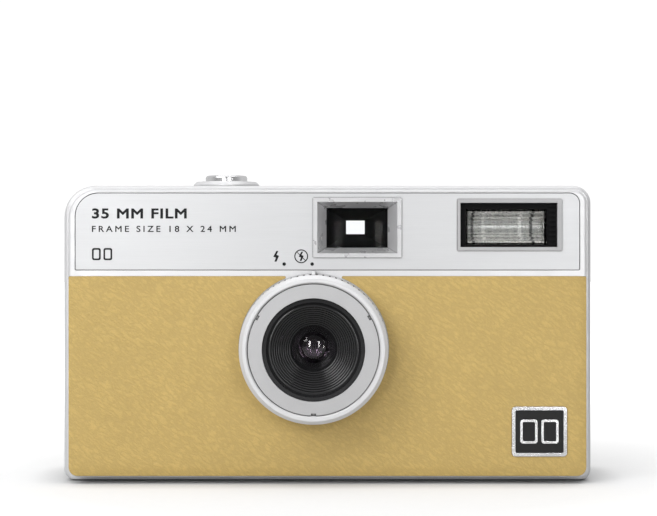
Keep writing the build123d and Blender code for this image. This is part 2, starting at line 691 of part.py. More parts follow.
def flash_tube():
    middle = (FLASH_LENS_BOTTOM + FLASH_LENS_TOP) / 2
    left = FLASH_LENS_LEFT + REFLECTOR_WALL
    return bar(TUBE_Y, middle, left, FLASH_LENS_RIGHT - REFLECTOR_WALL, TUBE_RADIUS)


def flash_board():
    board = block(23.5, 51.5, -4.0, 11.5, BOARD_Z, BOARD_Z + BOARD_THICK)
    top = BOARD_Z + BOARD_THICK
    board += block(26.0, 32.0, 6.2, 11.0, top, top + 4.5)
    board += block(35.0, 38.0, 6.5, 9.5, top, top + 1.5)
    return board + block(41.0, 47.0, 6.2, 10.0, top, top + 2.2)


def flash_capacitor():
    return bar(1.2, BOARD_Z + BOARD_THICK + CAPACITOR_RADIUS, 26.0, 46.0, CAPACITOR_RADIUS)


def ready_lamp():
    lamp = barrel(READY_X, EYE_Z, TUNNEL_REAR_Y, BACK_Y, READY_RADIUS)
    return lamp + (Pos(READY_X, BACK_Y - 1.0, EYE_Z) * Sphere(READY_RADIUS) & block(
        READY_X - 2, READY_X + 2, BACK_Y - 0.5, BACK_Y + 0.5, EYE_Z - 2, EYE_Z + 2))


# ---------------------------------------------------------------- body

def shell_walls():
    """Tube of the body shell, with the door's recess cut away."""
    outer = slab(-HALF, HALF, 0, HEIGHT, PARTING_Y, BACK_Y, BODY_RADII)
    outer = fillet(outer.faces().sort_by(Axis.Y)[0].edges(), BODY_EDGE_ROUND)
    inner_radii = [radius - WALL / 2 for radius in BODY_RADII]
    inner = slab(-HALF + WALL, HALF - WALL, WALL, INNER_TOP, PARTING_Y - 1, BACK_Y - WALL, inner_radii)
    shell = outer - inner
    shell -= block(-HALF - 1, HALF + 1, DOOR_FRONT_Y - DOOR_GAP, BACK_Y + 1, -1, DOOR_TOP + DOOR_GAP)
    corner = HINGE_Y - KNUCKLE_RADIUS - 0.7
    return shell - block(-HALF - 1, HINGE_X + 2.2, corner, BACK_Y + 1, HINGE_LOW - GAP, HINGE_HIGH + GAP)


def shell_knuckles():
    """The two knuckles of the body, with the webs that carry them."""
    knuckles = []
    for low, high in ((HINGE_LOW, KNUCKLE_LOW - KNUCKLE_GAP), (KNUCKLE_HIGH + KNUCKLE_GAP, HINGE_HIGH)):
        web = block(HINGE_X - 1.2, HINGE_X + 0.8, HINGE_Y - KNUCKLE_RADIUS - 1.0, HINGE_Y, low, high)
        knuckles.append(post(HINGE_X, HINGE_Y, low, high, KNUCKLE_RADIUS) + web)
    return knuckles


def battery_door_room():
    """Hole in the base for the battery door and its hinge."""
    right = battery_hinge_x() - BATTERY_HINGE / 2
    room = block(BATTERY_X - BATTERY_DOOR_HALF - 0.2, right, BATTERY_Y - BATTERY_DOOR_HALF - 0.2,
                 BATTERY_Y + BATTERY_DOOR_HALF + 0.2, -1, WALL + 1)
    return room + block(right - 0.5, battery_hinge_x() + 1.4, BATTERY_Y - 4.2, BATTERY_Y + 4.2, -1, WALL + 1)


def battery_hinge_x():
    return BATTERY_X + BATTERY_DOOR_HALF + BATTERY_HINGE + 0.2


def body_shell():
    shell = shell_walls()
    for knuckle in shell_knuckles():
        shell += knuckle
    shell -= post(HINGE_X, HINGE_Y, HINGE_LOW - 1, HINGE_HIGH + 1, HINGE_PIN)
    shell -= post(BUTTON_X, BUTTON_Y, INNER_TOP - 1, HEIGHT + 1, COLLAR_BORE)
    shell -= counter_block(INNER_TOP - 1, HEIGHT + 1)
    shell += post(SPOOL_X, SPOOL_Y, DIAL_Z - 0.6, INNER_TOP + 0.2, DIAL_STUB)
    wheel = WHEEL_RADIUS + WHEEL_SLOT_GAP
    slot = post(SPOOL_X, SPOOL_Y, WHEEL_Z - WHEEL_SLOT_GAP, WHEEL_Z + WHEEL_THICK + WHEEL_SLOT_GAP, wheel)
    shell -= slot & block(SPOOL_X - wheel, SPOOL_X + wheel, BACK_Y - WALL - 1, BACK_Y + 1, 0, HEIGHT)
    shell -= eyepiece_block(0, BACK_Y - WALL - 1, BACK_Y + 1)
    shell -= barrel(READY_X, EYE_Z, BACK_Y - WALL - 1, BACK_Y + 1, READY_RADIUS)
    shell -= post(CASSETTE_X, CASSETTE_Y, -1, WALL + 1, KNOB_RADIUS + KNOB_CLEAR)
    shell -= post(RELEASE_X, RELEASE_Y, -1, WALL + 1, RELEASE_RADIUS + 0.2)
    shell -= battery_door_room()
    for side in (-1, 1):
        ear = BATTERY_Y + side * 4.7
        shell += block(battery_hinge_x(), battery_hinge_x() + 1.6, ear - 0.45, ear + 0.45, 0.0, WALL)
        shell += barrel(battery_hinge_x(), BATTERY_HINGE, ear - 0.45, ear + 0.45, BATTERY_HINGE)
    shell -= barrel(battery_hinge_x(), BATTERY_HINGE, BATTERY_Y - 4.9, BATTERY_Y + 4.9, 0.4 + RUNNING)
    for x, y in SCREW_PLACES:
        shell -= post(x, y, -1, WALL + 1, SCREW_RADIUS)
        shell -= post(x, y, -1, 1.0, SCREW_HEAD)
    return latch_side(strap_side(shell))


def latch_side(shell):
    """Slot for the latch's knob and the ledge of its spring."""
    low = LATCH_Z - LATCH_KNOB / 2 - LATCH_TRAVEL - 0.3
    shell -= block(HALF - WALL - 1, HALF + 1, 8.3, 11.1, low, LATCH_Z + LATCH_KNOB / 2 + 0.3)
    return shell + block(HALF - WALL - 1.1, HALF - WALL + 0.2, 8.6, 10.6, 6.5, 8.0)


def strap_side(shell):
    """Pocket in the left wall behind the strap bar."""
    inside = -HALF + STRAP_DEPTH
    wall = 0.8
    shell += block(-HALF + 1, inside + wall, STRAP_FRONT_Y - wall, STRAP_REAR_Y + wall,
                   STRAP_LOW - wall, STRAP_HIGH + wall)
    return shell - block(-HALF - 1, inside, STRAP_FRONT_Y, STRAP_REAR_Y, STRAP_LOW, STRAP_HIGH)


def strap_bar():
    return post(-HALF + STRAP_BAR + 0.1, (STRAP_FRONT_Y + STRAP_REAR_Y) / 2, STRAP_LOW, STRAP_HIGH, STRAP_BAR)


def button_collar():
    collar = post(BUTTON_X, BUTTON_Y, HEIGHT, HEIGHT + COLLAR_HEIGHT, COLLAR_RADIUS)
    collar = chamfer(collar.faces().sort_by(Axis.Z)[-1].edges(), 0.6)
    return collar - post(BUTTON_X, BUTTON_Y, HEIGHT - 1, HEIGHT + COLLAR_HEIGHT + 1, COLLAR_BORE)


def counter_block(low, high):
    """Block as wide and deep as the frame counter's window."""
    half_w = COUNTER_WIDTH / 2
    half_d = COUNTER_DEPTH / 2
    return block(SPOOL_X - half_w, SPOOL_X + half_w, COUNTER_Y - half_d, COUNTER_Y + half_d, low, high)


def counter_window():
    return counter_block(INNER_TOP + 0.2, HEIGHT - 0.1)


def case_screws():
    screws = []
    for x, y in SCREW_PLACES:
        head = post(x, y, 0.3, 1.0, SCREW_HEAD - 0.05)
        head -= block(x - SCREW_HEAD, x + SCREW_HEAD, y - 0.2, y + 0.2, 0, 0.6)
        head -= block(x - 0.2, x + 0.2, y - SCREW_HEAD, y + SCREW_HEAD, 0, 0.6)
        screws.append(head + post(x, y, 0.6, SHELF_LOW + 0.6, SCREW_RADIUS))
    return Compound(children=screws)


# ---------------------------------------------------------------- chassis

def chamber(x, y, bore):
    """Round film chamber, open at the back."""
    outside = post(x, y, SHELF_LOW, CHAMBER_HIGH + SHELF_THICK, bore + CHASSIS_WALL)
    inside = post(x, y, CHAMBER_LOW, CHAMBER_HIGH, bore)
    inside += block(x - bore, x + bore, y, CHAMBER_REAR_Y + 20, CHAMBER_LOW, CHAMBER_HIGH)
    return outside & chassis_room(CHAMBER_REAR_Y), inside


def chassis_room(rear):
    """Space that the chassis may fill."""
    return block(-CHASSIS_SIDE, CHASSIS_SIDE, CHASSIS_FRONT_Y, rear, SHELF_LOW, CHAMBER_HIGH + SHELF_THICK)


def light_room(wall):
    """Tapered room from the rear lens to the film gate."""
    return funnel(LENS_X, LENS_Z, LIGHT_BOX_MOUTH + 2 * wall, LIGHT_BOX_MOUTH + 2 * wall, LIGHT_BOX_FRONT_Y,
                  LENS_X, FILM_Z, FRAME_WIDTH + 2 * wall, FRAME_HEIGHT + 2 * wall, FILM_PLANE_Y - 0.4)


def light_box():
    """Tapered box behind the shutter, with the plate that carries the rear lens."""
    box = light_room(LIGHT_BOX_WALL) & block(-HALF, HALF, LIGHT_BOX_FRONT_Y, film_plate_front(), 0, HEIGHT)
    box += shutter_block(SHUTTER_REAR_Y, LIGHT_BOX_FRONT_Y, 2.0)
    box -= light_room(0)
    box -= lens_post(GLASS_RADIUS - 0.2, SHUTTER_REAR_Y - 1, LIGHT_BOX_FRONT_Y + 1)
    return box - post(SPROCKET_X, SPROCKET_Y, CHAMBER_LOW, CHAMBER_HIGH, SPROCKET_ROOM)


def film_plate_front():
    return FILM_PLANE_Y - 0.4 - FILM_PLATE_THICK


def film_plate():
    """Plate round the film gate with its inner and outer film rails."""
    left = SPOOL_X + SPOOL_BORE
    right = CASSETTE_X - CASSETTE_BORE
    face = FILM_PLANE_Y - 0.4
    plate = block(left, right, face - FILM_PLATE_THICK, face, CHAMBER_LOW, CHAMBER_HIGH)
    for side in (-1, 1):
        inner = FILM_Z + side * (FRAME_HEIGHT / 2 + 1.0)
        outer = FILM_Z + side * (FILM_WIDTH / 2 + 0.1 + RAIL_WIDTH / 2)
        rail = RAIL_WIDTH / 2
        plate += block(SPROCKET_X + SPROCKET_ROOM, right, face, FILM_PLANE_Y, inner - rail, inner + rail)
        plate += block(left, right, face, FILM_PLANE_Y + 0.25, outer - rail, outer + rail)
    return plate


def shelves():
    """Floor and top deck that join the chambers."""
    floor = block(-CHASSIS_SIDE, CHASSIS_SIDE, CHASSIS_FRONT_Y, SHELF_REAR_Y, SHELF_LOW, CHAMBER_LOW)
    deck = block(-CHASSIS_SIDE, SPROCKET_X + SPROCKET_ROOM, CHASSIS_FRONT_Y, SHELF_REAR_Y,
                 CHAMBER_HIGH, CHAMBER_HIGH + SHELF_THICK)
    lid = block(CASSETTE_X - CASSETTE_BORE - CHASSIS_WALL, CHASSIS_SIDE, REFLECTOR_BACK_Y + 0.3, SHELF_REAR_Y,
                CHAMBER_HIGH, CHAMBER_HIGH + SHELF_THICK)
    beam = block(SPROCKET_X, CASSETTE_X, SHELF_REAR_Y - 2.6, SHELF_REAR_Y - 0.1,
                 CHAMBER_HIGH - 1.0, CHAMBER_HIGH)
    return floor + deck + lid, beam


def chassis():
    spool_out, spool_in = chamber(SPOOL_X, SPOOL_Y, SPOOL_BORE)
    film_out, film_in = chamber(CASSETTE_X, CASSETTE_Y, CASSETTE_BORE)
    plates, beam = shelves()
    body = plates + spool_out + film_out + film_plate()
    body -= spool_in
    body -= film_in
    body += beam
    body += post(BUTTON_X, BUTTON_Y, CHAMBER_HIGH, POST_TOP, POST_RADIUS)
    body -= light_room(0)
    body -= battery_post(SHELF_LOW - 1, CHAMBER_LOW + 1, BATTERY_WALL)
    body -= post(SPROCKET_X, SPROCKET_Y, CHAMBER_LOW, CHAMBER_HIGH, SPROCKET_ROOM)
    body -= block(CASSETTE_X - CASSETTE_BORE - CHASSIS_WALL, CHASSIS_SIDE + 1,
                  CHASSIS_FRONT_Y - 1, REFLECTOR_BACK_Y + 0.3, CHAMBER_HIGH, CHAMBER_HIGH + 5)
    return chassis_holes(body)


def chassis_holes(body):
    """Bores for shafts and the button, the lever's slot and the screw pillars."""
    deck_top = CHAMBER_HIGH + SHELF_THICK + 1
    body -= post(SPOOL_X, SPOOL_Y, CHAMBER_HIGH - 1, deck_top, SPOOL_SHAFT + RUNNING)
    body -= post(SPOOL_X, SPOOL_Y, SHELF_LOW - 1, CHAMBER_LOW + 1, SPOOL_PIN + RUNNING)
    body -= post(SPROCKET_X, SPROCKET_Y, SHELF_LOW - 1, deck_top, SPOOL_PIN + RUNNING)
    body -= post(CASSETTE_X, CASSETTE_Y, SHELF_LOW - 1, CHAMBER_LOW + 1, FORK_RADIUS + RUNNING)
    body -= post(RELEASE_X, RELEASE_Y, SHELF_LOW - 1, CHAMBER_LOW + 1, SPOOL_PIN + RUNNING)
    body -= post(BUTTON_X, BUTTON_Y, CHAMBER_HIGH - 1, POST_TOP + 1, BUTTON_STEM + RUNNING)
    half = LEVER_WIDTH / 2 + 0.3
    body -= block(BUTTON_X - half, BUTTON_X + half, LEVER_FRONT_Y - 0.3, LEVER_FRONT_Y + LEVER_THICK + 0.3,
                  CHAMBER_HIGH - 1, deck_top)
    for x, y in SCREW_PLACES:
        body += post(x, y, WALL, SHELF_LOW, PILLAR_RADIUS)
        body -= post(x, y, WALL - 1, SHELF_LOW + 0.6, SCREW_RADIUS)
    for x in (25.0, 49.0):
        body += block(x - 1.2, x + 1.2, -3.0, 11.0, CHAMBER_HIGH + SHELF_THICK, BOARD_Z)
    return body


def light_seals():
    """Foam strips between the chassis and the closed door."""
    strips = []
    for low in (SHELF_LOW, CHAMBER_HIGH - 0.3):
        high = low + SHELF_THICK
        strips.append(block(-46.0, 51.0, SHELF_REAR_Y, SHELF_REAR_Y + SEAL_DEPTH, low, high))
    return Compound(children=strips)


def battery_block(half, low, high):
    """Square block about the battery's axis."""
    return block(BATTERY_X - half, BATTERY_X + half, BATTERY_Y - half, BATTERY_Y + half, low, high)


def battery_post(low, high, margin):
    """Cylinder on the battery's axis."""
    return post(BATTERY_X, BATTERY_Y, low, high, BATTERY_BORE + margin)


def battery_holder():
    """Cup round the battery, with a collar that rests on the chassis."""
    cup = battery_post(SHELF_LOW, BATTERY_TOP + BATTERY_WALL, BATTERY_WALL)
    cup += battery_post(CHAMBER_LOW, CHAMBER_LOW + BATTERY_WALL, 2 * BATTERY_WALL)
    return cup - battery_post(SHELF_LOW - 1, BATTERY_TOP, 0)


def battery_contact():
    """Plate at the top of the battery bay."""
    return battery_block(CONTACT_HALF, BATTERY_TOP - CONTACT_THICK, BATTERY_TOP)


# ---------------------------------------------------------------- film transport

def advance_wheel():
    wheel = Pos(SPOOL_X, SPOOL_Y, WHEEL_Z) * grooved_disc(WHEEL_RADIUS, WHEEL_TEETH, 0.35, WHEEL_THICK)
    return wheel - post(SPOOL_X, SPOOL_Y, WHEEL_Z - 1, WHEEL_Z + WHEEL_THICK + 1, SPOOL_SHAFT)


def takeup_spool():
    low = CHAMBER_LOW + 0.4
    high = CHAMBER_HIGH - 0.4
    spool = post(SPOOL_X, SPOOL_Y, low, high, SPOOL_CORE)
    spool += post(SPOOL_X, SPOOL_Y, SHELF_LOW, low + 1, SPOOL_PIN)
    spool += post(SPOOL_X, SPOOL_Y, high - 1, WHEEL_Z + WHEEL_THICK, SPOOL_SHAFT)
    for angle in (0, 90, 180, 270):
        slit = Pos(SPOOL_CORE - 1.2, 0, FILM_Z) * Box(3.0, 1.2, FILM_WIDTH + 1)
        spool -= Pos(SPOOL_X, SPOOL_Y, 0) * Rot(0, 0, angle) * slit
    return spool


def sprocket():
    low = CHAMBER_LOW + 0.4
    high = CHAMBER_HIGH - 0.4
    wheel = post(SPROCKET_X, SPROCKET_Y, low, high, SPROCKET_BODY)
    wheel += post(SPROCKET_X, SPROCKET_Y, SHELF_LOW, CHAMBER_HIGH + SHELF_THICK, SPOOL_PIN)
    for side in (-1, 1):
        middle = FILM_Z + side * PERFORATION
        wheel += post(SPROCKET_X, SPROCKET_Y, middle - 1.4, middle + 1.4, SPROCKET_RIM)
        for index in range(SPROCKET_TEETH):
            tooth = Pos(SPROCKET_RIM, 0, middle) * Box(2 * SPROCKET_TOOTH, 1.1, 1.6)
            wheel += Pos(SPROCKET_X, SPROCKET_Y, 0) * Rot(0, 0, 360 * (index + 0.5) / SPROCKET_TEETH) * tooth
    return wheel


def wind_pawl():
    """Leaf that clicks over the wheel's rim and stops it from turning back."""
    deck = CHAMBER_HIGH + SHELF_THICK
    tip = SPOOL_X + (WHEEL_RADIUS ** 2 - (8.0 - SPOOL_Y) ** 2) ** 0.5 + 0.3
    foot = block(-21.0, -17.0, 7.0, 9.0, deck, WHEEL_Z + 3.0)
    return foot + block(tip, -20.5, 7.8, 8.2, WHEEL_Z + 0.6, WHEEL_Z + 3.0)


def counter_dial():
    dial = post(SPOOL_X, SPOOL_Y, DIAL_Z, DIAL_Z + DIAL_THICK, DIAL_RADIUS)
    return dial - post(SPOOL_X, SPOOL_Y, DIAL_Z - 1, DIAL_Z + DIAL_THICK + 1, DIAL_STUB + RUNNING)


def rewind_knob():
    knob = post(CASSETTE_X, CASSETTE_Y, KNOB_RECESS, KNOB_TOP, KNOB_RADIUS)
    pivot = CASSETTE_X - CRANK_PIVOT
    middle = KNOB_RECESS + CRANK_THICK / 2
    half = CRANK_WIDTH / 2 + 0.3
    knob -= block(pivot - 1.5, CASSETTE_X + KNOB_RADIUS, CASSETTE_Y - half, CASSETTE_Y + half,
                  -1, middle + CRANK_THICK / 2 + 0.3)
    return knob - barrel(pivot, middle, CASSETTE_Y - half - 1.5, CASSETTE_Y + half + 1.5, CRANK_PIN)


def crank_pin():
    pivot = CASSETTE_X - CRANK_PIVOT
    middle = KNOB_RECESS + CRANK_THICK / 2
    half = CRANK_WIDTH / 2 + 0.3
    return barrel(pivot, middle, CASSETTE_Y - half - 1.5, CASSETTE_Y + half + 1.5, CRANK_PIN)


def crank_handle():
    pivot = CASSETTE_X - CRANK_PIVOT
    middle = KNOB_RECESS + CRANK_THICK / 2
    half = CRANK_WIDTH / 2
    handle = block(pivot, pivot + CRANK_REACH, CASSETTE_Y - half, CASSETTE_Y + half,
                   KNOB_RECESS, KNOB_RECESS + CRANK_THICK)
    handle = fillet(handle.edges().filter_by(Axis.Z).sort_by(Axis.X)[-2:], half - 0.2)
    handle += barrel(pivot, middle, CASSETTE_Y - half, CASSETTE_Y + half, CRANK_THICK / 2)
    handle -= barrel(pivot, middle, CASSETTE_Y - half - 1, CASSETTE_Y + half + 1, CRANK_PIN + RUNNING)
    return handle - Pos(pivot + CRANK_REACH - 2.0, CASSETTE_Y, KNOB_RECESS - 0.4) * Sphere(1.2)


def rewind_fork():
    """Shaft with two prongs that turn the cassette's hub."""
    fork = post(CASSETTE_X, CASSETTE_Y, KNOB_TOP, FORK_TOP, FORK_RADIUS)
    return fork - block(CASSETTE_X - 1.0, CASSETTE_X + 1.0, CASSETTE_Y - 5, CASSETTE_Y + 5,
                        FORK_TOP - 2.4, FORK_TOP + 1)


def rewind_release():
    button = post(RELEASE_X, RELEASE_Y, KNOB_RECESS, WALL + 1.0, RELEASE_RADIUS)
    button += post(RELEASE_X, RELEASE_Y, WALL + 0.3, WALL + 1.0, RELEASE_RADIUS + 0.8)
    return button + post(RELEASE_X, RELEASE_Y, WALL + 0.5, CHAMBER_LOW + 0.6, SPOOL_PIN)


def release_spring():
    return coil(RELEASE_X, RELEASE_Y, WALL + 1.0, SHELF_LOW, SPOOL_PIN + SPRING_WIRE + 0.3, 3)


# ---------------------------------------------------------------- shutter button

def shutter_button():
    cap = post(BUTTON_X, BUTTON_Y, BUTTON_SKIRT_Z, BUTTON_TOP, BUTTON_RADIUS)
    cap = fillet(cap.faces().sort_by(Axis.Z)[-1].edges(), BUTTON_DOME)
    return cap + post(BUTTON_X, BUTTON_Y, STEM_END_Z, BUTTON_SKIRT_Z + 0.5, BUTTON_STEM)


def release_lever():
    """Bent strip that carries the button's stroke down to the shutter."""
    half = LEVER_WIDTH / 2
    washer = post(BUTTON_X, BUTTON_Y, LEVER_Z, LEVER_Z + LEVER_THICK, BUTTON_STEM + 1.6)
    arm = block(BUTTON_X - half, BUTTON_X + half, LEVER_FRONT_Y, BUTTON_Y - 1, LEVER_Z, LEVER_Z + LEVER_THICK)
    drop = block(BUTTON_X - half, BUTTON_X + half, LEVER_FRONT_Y, LEVER_FRONT_Y + LEVER_THICK,
                 LEVER_FOOT_Z, LEVER_Z + LEVER_THICK)
    foot = block(BUTTON_X - half, LENS_X - SHUTTER_HALF_WIDTH - 0.3,
                 LEVER_FRONT_Y, LEVER_FRONT_Y + LEVER_THICK, LEVER_FOOT_Z, LEVER_FOOT_Z + 2.0)
    return washer + arm + drop + foot - post(BUTTON_X, BUTTON_Y, LEVER_Z - 1, LEVER_Z + 2, BUTTON_STEM)


def button_spring():
    return coil(BUTTON_X, BUTTON_Y, POST_TOP, LEVER_Z, BUTTON_STEM + SPRING_WIRE + 0.2, 4)


# ---------------------------------------------------------------- door

def back_door():
    door = slab(HINGE_X + 2.0, HALF - 0.2, 0.4, DOOR_TOP, DOOR_FRONT_Y, BACK_Y, (0.3, 2.2, 0.3, 0.3))
    door = fillet(door.faces().sort_by(Axis.Y)[-1].edges(), 0.25)
    door += post(HINGE_X, HINGE_Y, KNUCKLE_LOW, KNUCKLE_HIGH, KNUCKLE_RADIUS)
    door += block(HINGE_X, HINGE_X + 2.4, HINGE_Y, HINGE_Y + 1.2, KNUCKLE_LOW, KNUCKLE_HIGH)
    door -= post(HINGE_X, HINGE_Y, KNUCKLE_LOW - 1, KNUCKLE_HIGH + 1, HINGE_PIN + RUNNING)
    for low in (CHAMBER_LOW + 1.0, CHAMBER_HIGH - 2.6):
        door += block(-47.0, 22.0, DOOR_FRONT_Y - 1.8, DOOR_FRONT_Y, low, low + 0.8)
    door += block(50.4, 51.8, DOOR_FRONT_Y - 2.2, DOOR_FRONT_Y, LATCH_Z - 4, LATCH_Z + 4)
    pin_tip = FILM_PLANE_Y + PRESSURE_LIFT + 0.7
    for side in (-1, 1):
        door += barrel(LENS_X, FILM_Z + side * PRESSURE_PIN_SPAN, pin_tip, DOOR_FRONT_Y, PRESSURE_PIN)
    return door - window_block(DOOR_FRONT_Y - 1, BACK_Y + 1)


def window_block(front, back):
    """Block as large as the film window."""
    return block(WINDOW_X - WINDOW_WIDTH / 2, WINDOW_X + WINDOW_WIDTH / 2, front, back,
                 FILM_Z - WINDOW_HEIGHT / 2, FILM_Z + WINDOW_HEIGHT / 2)


def film_window():
    return window_block(DOOR_FRONT_Y + 0.2, BACK_Y - 0.3)


def hinge_pin():
    return post(HINGE_X, HINGE_Y, HINGE_LOW, HINGE_HIGH, HINGE_PIN)


def pressure_plate():
    front = FILM_PLANE_Y + PRESSURE_LIFT
    half = FILM_WIDTH / 2 - 0.5
    plate = slab(LENS_X - PRESSURE_WIDTH / 2, LENS_X + PRESSURE_WIDTH / 2, FILM_Z - half, FILM_Z + half,
                 front, front + PRESSURE_THICK, (1.5,) * 4)
    for side in (-1, 1):
        pin_z = FILM_Z + side * PRESSURE_PIN_SPAN
        plate -= barrel(LENS_X, pin_z, front - 1, front + 2, PRESSURE_PIN + RUNNING)
    return plate


def pressure_spring():
    """Bowed leaf between the door and the pressure plate."""
    low = FILM_PLANE_Y + PRESSURE_LIFT + PRESSURE_THICK
    span = 8.0
    outer = ThreePointArc((LENS_X - span, DOOR_FRONT_Y, 0), (LENS_X, low, 0),
                          (LENS_X + span, DOOR_FRONT_Y, 0))
    inner = ThreePointArc((LENS_X + span - 1.2, DOOR_FRONT_Y, 0), (LENS_X, low + 0.2, 0),
                          (LENS_X - span + 1.2, DOOR_FRONT_Y, 0))
    face = make_face([outer, Line(outer @ 1, inner @ 0), inner, Line(inner @ 1, outer @ 0)])
    return extrude(Pos(0, 0, FILM_Z - 2.5) * face, amount=5.0, dir=(0, 0, 1))


def door_latch():
    """Sliding catch in the right wall."""
    inside = HALF - WALL - GAP
    half = LATCH_KNOB / 2
    plate = block(inside - LATCH_THICK, inside, 6.5, 12.4, LATCH_Z - 11, LATCH_Z + 11)
    knob = block(inside - 0.2, HALF - 0.1, 8.5, 10.9, LATCH_Z - half, LATCH_Z + half)
    for index in range(5):
        middle = LATCH_Z + (index - 2) * 1.8
        knob -= block(HALF - 0.5, HALF + 1, 8, 12, middle - 0.3, middle + 0.3)
    return plate + knob


def latch_spring():
    inside = HALF - WALL - GAP - LATCH_THICK / 2
    return coil(inside, 9.6, 8.0, LATCH_Z - 11, 0.4, 9)


# ---------------------------------------------------------------- battery door

def battery_door():
    half = BATTERY_DOOR_HALF
    door = battery_block(half, 0, BATTERY_DOOR_THICK)
    hinge = battery_hinge_x()
    door += barrel(hinge, BATTERY_HINGE, BATTERY_Y - 4.0, BATTERY_Y + 4.0, BATTERY_HINGE)
    door += block(BATTERY_X + half - 1, hinge, BATTERY_Y - 4.0, BATTERY_Y + 4.0,
                  BATTERY_HINGE - 0.5, BATTERY_HINGE + 0.5)
    door += barrel(hinge, BATTERY_HINGE, BATTERY_Y - 4.8, BATTERY_Y + 4.8, 0.4)
    for index in range(5):
        x = BATTERY_X - half + 1.2 + 0.8 * index
        door -= block(x, x + 0.4, BATTERY_Y - 3, BATTERY_Y + 3, -1, 0.3)
    return door


def door_contact():
    """Contact plate on the inside of the battery door."""
    return battery_block(CONTACT_HALF, BATTERY_DOOR_THICK, BATTERY_DOOR_THICK + CONTACT_THICK)


PIECES = (
    front_cover, face_plate, front_leatherette, badge_frame, badge_inlay, flash_ring, lens_bezel,
    lens_cone, front_lens, rear_lens, aperture_plate, shutter_housing, shutter_blade, blade_spring,
    viewfinder_bezel, viewfinder_front_lens, viewfinder_tunnel, eyepiece_frame, viewfinder_eye_lens,
    flash_bezel, flash_holder, flash_lens, flash_reflector, flash_tube, flash_board, flash_capacitor,
    ready_lamp, body_shell, strap_bar, button_collar, counter_window, case_screws, chassis, light_box,
    light_seals, battery_holder, battery_contact, advance_wheel, takeup_spool, sprocket, wind_pawl,
    counter_dial, rewind_knob, crank_pin, crank_handle, rewind_fork, rewind_release, release_spring,
    shutter_button, release_lever, button_spring, back_door, film_window, hinge_pin, pressure_plate,
    pressure_spring, door_latch, latch_spring, battery_door, door_contact)


def main():
    os.makedirs("parts", exist_ok=True)
    for piece in PIECES:
        export_step(piece(), f"parts/{piece.__name__}.step")


main()
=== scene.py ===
"""Half frame camera: finishes for the moulded parts, the leatherette panel, the prints and a studio.

The packed model is loaded as a fixed frame. Every place and size below is worked out from it.
"""
import json
from math import cos, pi, radians, sin

import bmesh
import bpy
from mathutils import Matrix, Vector, noise


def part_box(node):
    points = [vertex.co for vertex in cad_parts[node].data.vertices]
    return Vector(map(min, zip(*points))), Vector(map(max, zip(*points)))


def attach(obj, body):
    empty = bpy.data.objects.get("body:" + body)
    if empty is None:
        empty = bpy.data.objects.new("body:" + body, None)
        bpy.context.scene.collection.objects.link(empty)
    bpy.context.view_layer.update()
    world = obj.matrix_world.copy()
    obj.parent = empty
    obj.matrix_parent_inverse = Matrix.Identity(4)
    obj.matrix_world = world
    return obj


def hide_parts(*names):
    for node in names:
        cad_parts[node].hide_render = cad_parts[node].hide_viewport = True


bl_info = {
    "name": "Half Frame Camera",
    "version": (1, 0, 0),
    "blender": (4, 5, 0),
    "location": "3D View > Sidebar > Half Frame Camera",
    "description": "Finishes, leatherette, prints and studio for a half frame film camera",
    "category": "Object",
}

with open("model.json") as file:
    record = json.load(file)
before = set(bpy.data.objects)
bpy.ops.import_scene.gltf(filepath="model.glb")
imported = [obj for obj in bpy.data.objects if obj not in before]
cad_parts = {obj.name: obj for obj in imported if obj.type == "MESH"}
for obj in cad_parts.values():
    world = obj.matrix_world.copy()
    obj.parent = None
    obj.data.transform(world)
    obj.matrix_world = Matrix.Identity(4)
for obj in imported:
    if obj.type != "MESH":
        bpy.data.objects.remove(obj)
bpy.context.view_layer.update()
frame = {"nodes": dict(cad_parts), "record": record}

MM = 0.001
MICRON = 0.000001
ROOT = "camera_body"
PLATE_LOW, PLATE_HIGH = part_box("face_plate")
PANEL_LOW, PANEL_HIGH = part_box("front_leatherette")
INLAY_LOW, INLAY_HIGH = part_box("badge_inlay")
DIAL_LOW, DIAL_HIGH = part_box("counter_dial")
LENS_LOW, LENS_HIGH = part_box("front_lens")
LENS_CENTRE = (LENS_LOW + LENS_HIGH) / 2
CONE_LOW, CONE_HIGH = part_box("lens_cone")
FLASH_CREASES = 7
# shares of the flash mirror's width where painted highlight columns go
FLASH_GLINTS = (0.24, 0.70)
# shares of the flash mirror's width where dark columns go
FLASH_DARK_COLUMNS = (0.10, 0.84)


# ---------------------------------------------------------------- settings

class CameraFinishes(bpy.types.PropertyGroup):
    """Colours of the camera's parts."""
    leatherette: bpy.props.FloatVectorProperty(
        name="Leatherette", description="Colour of the embossed panel", subtype="COLOR", size=3,
        min=0, max=1, default=(0.575, 0.405, 0.130))
    silver: bpy.props.FloatVectorProperty(
        name="Silver paint", description="Colour of the painted shell and cover", subtype="COLOR",
        size=3, min=0, max=1, default=(0.66, 0.66, 0.67))
    plate: bpy.props.FloatVectorProperty(
        name="Face plate", description="Colour of the brushed plate above the panel", subtype="COLOR",
        size=3, min=0, max=1, default=(0.57, 0.575, 0.585))
    black: bpy.props.FloatVectorProperty(
        name="Black plastic", description="Colour of the black mouldings", subtype="COLOR", size=3,
        min=0, max=1, default=(0.016, 0.016, 0.017))
    ink: bpy.props.FloatVectorProperty(
        name="Ink", description="Colour of the printed marks", subtype="COLOR", size=3, min=0, max=1,
        default=(0.010, 0.010, 0.011))


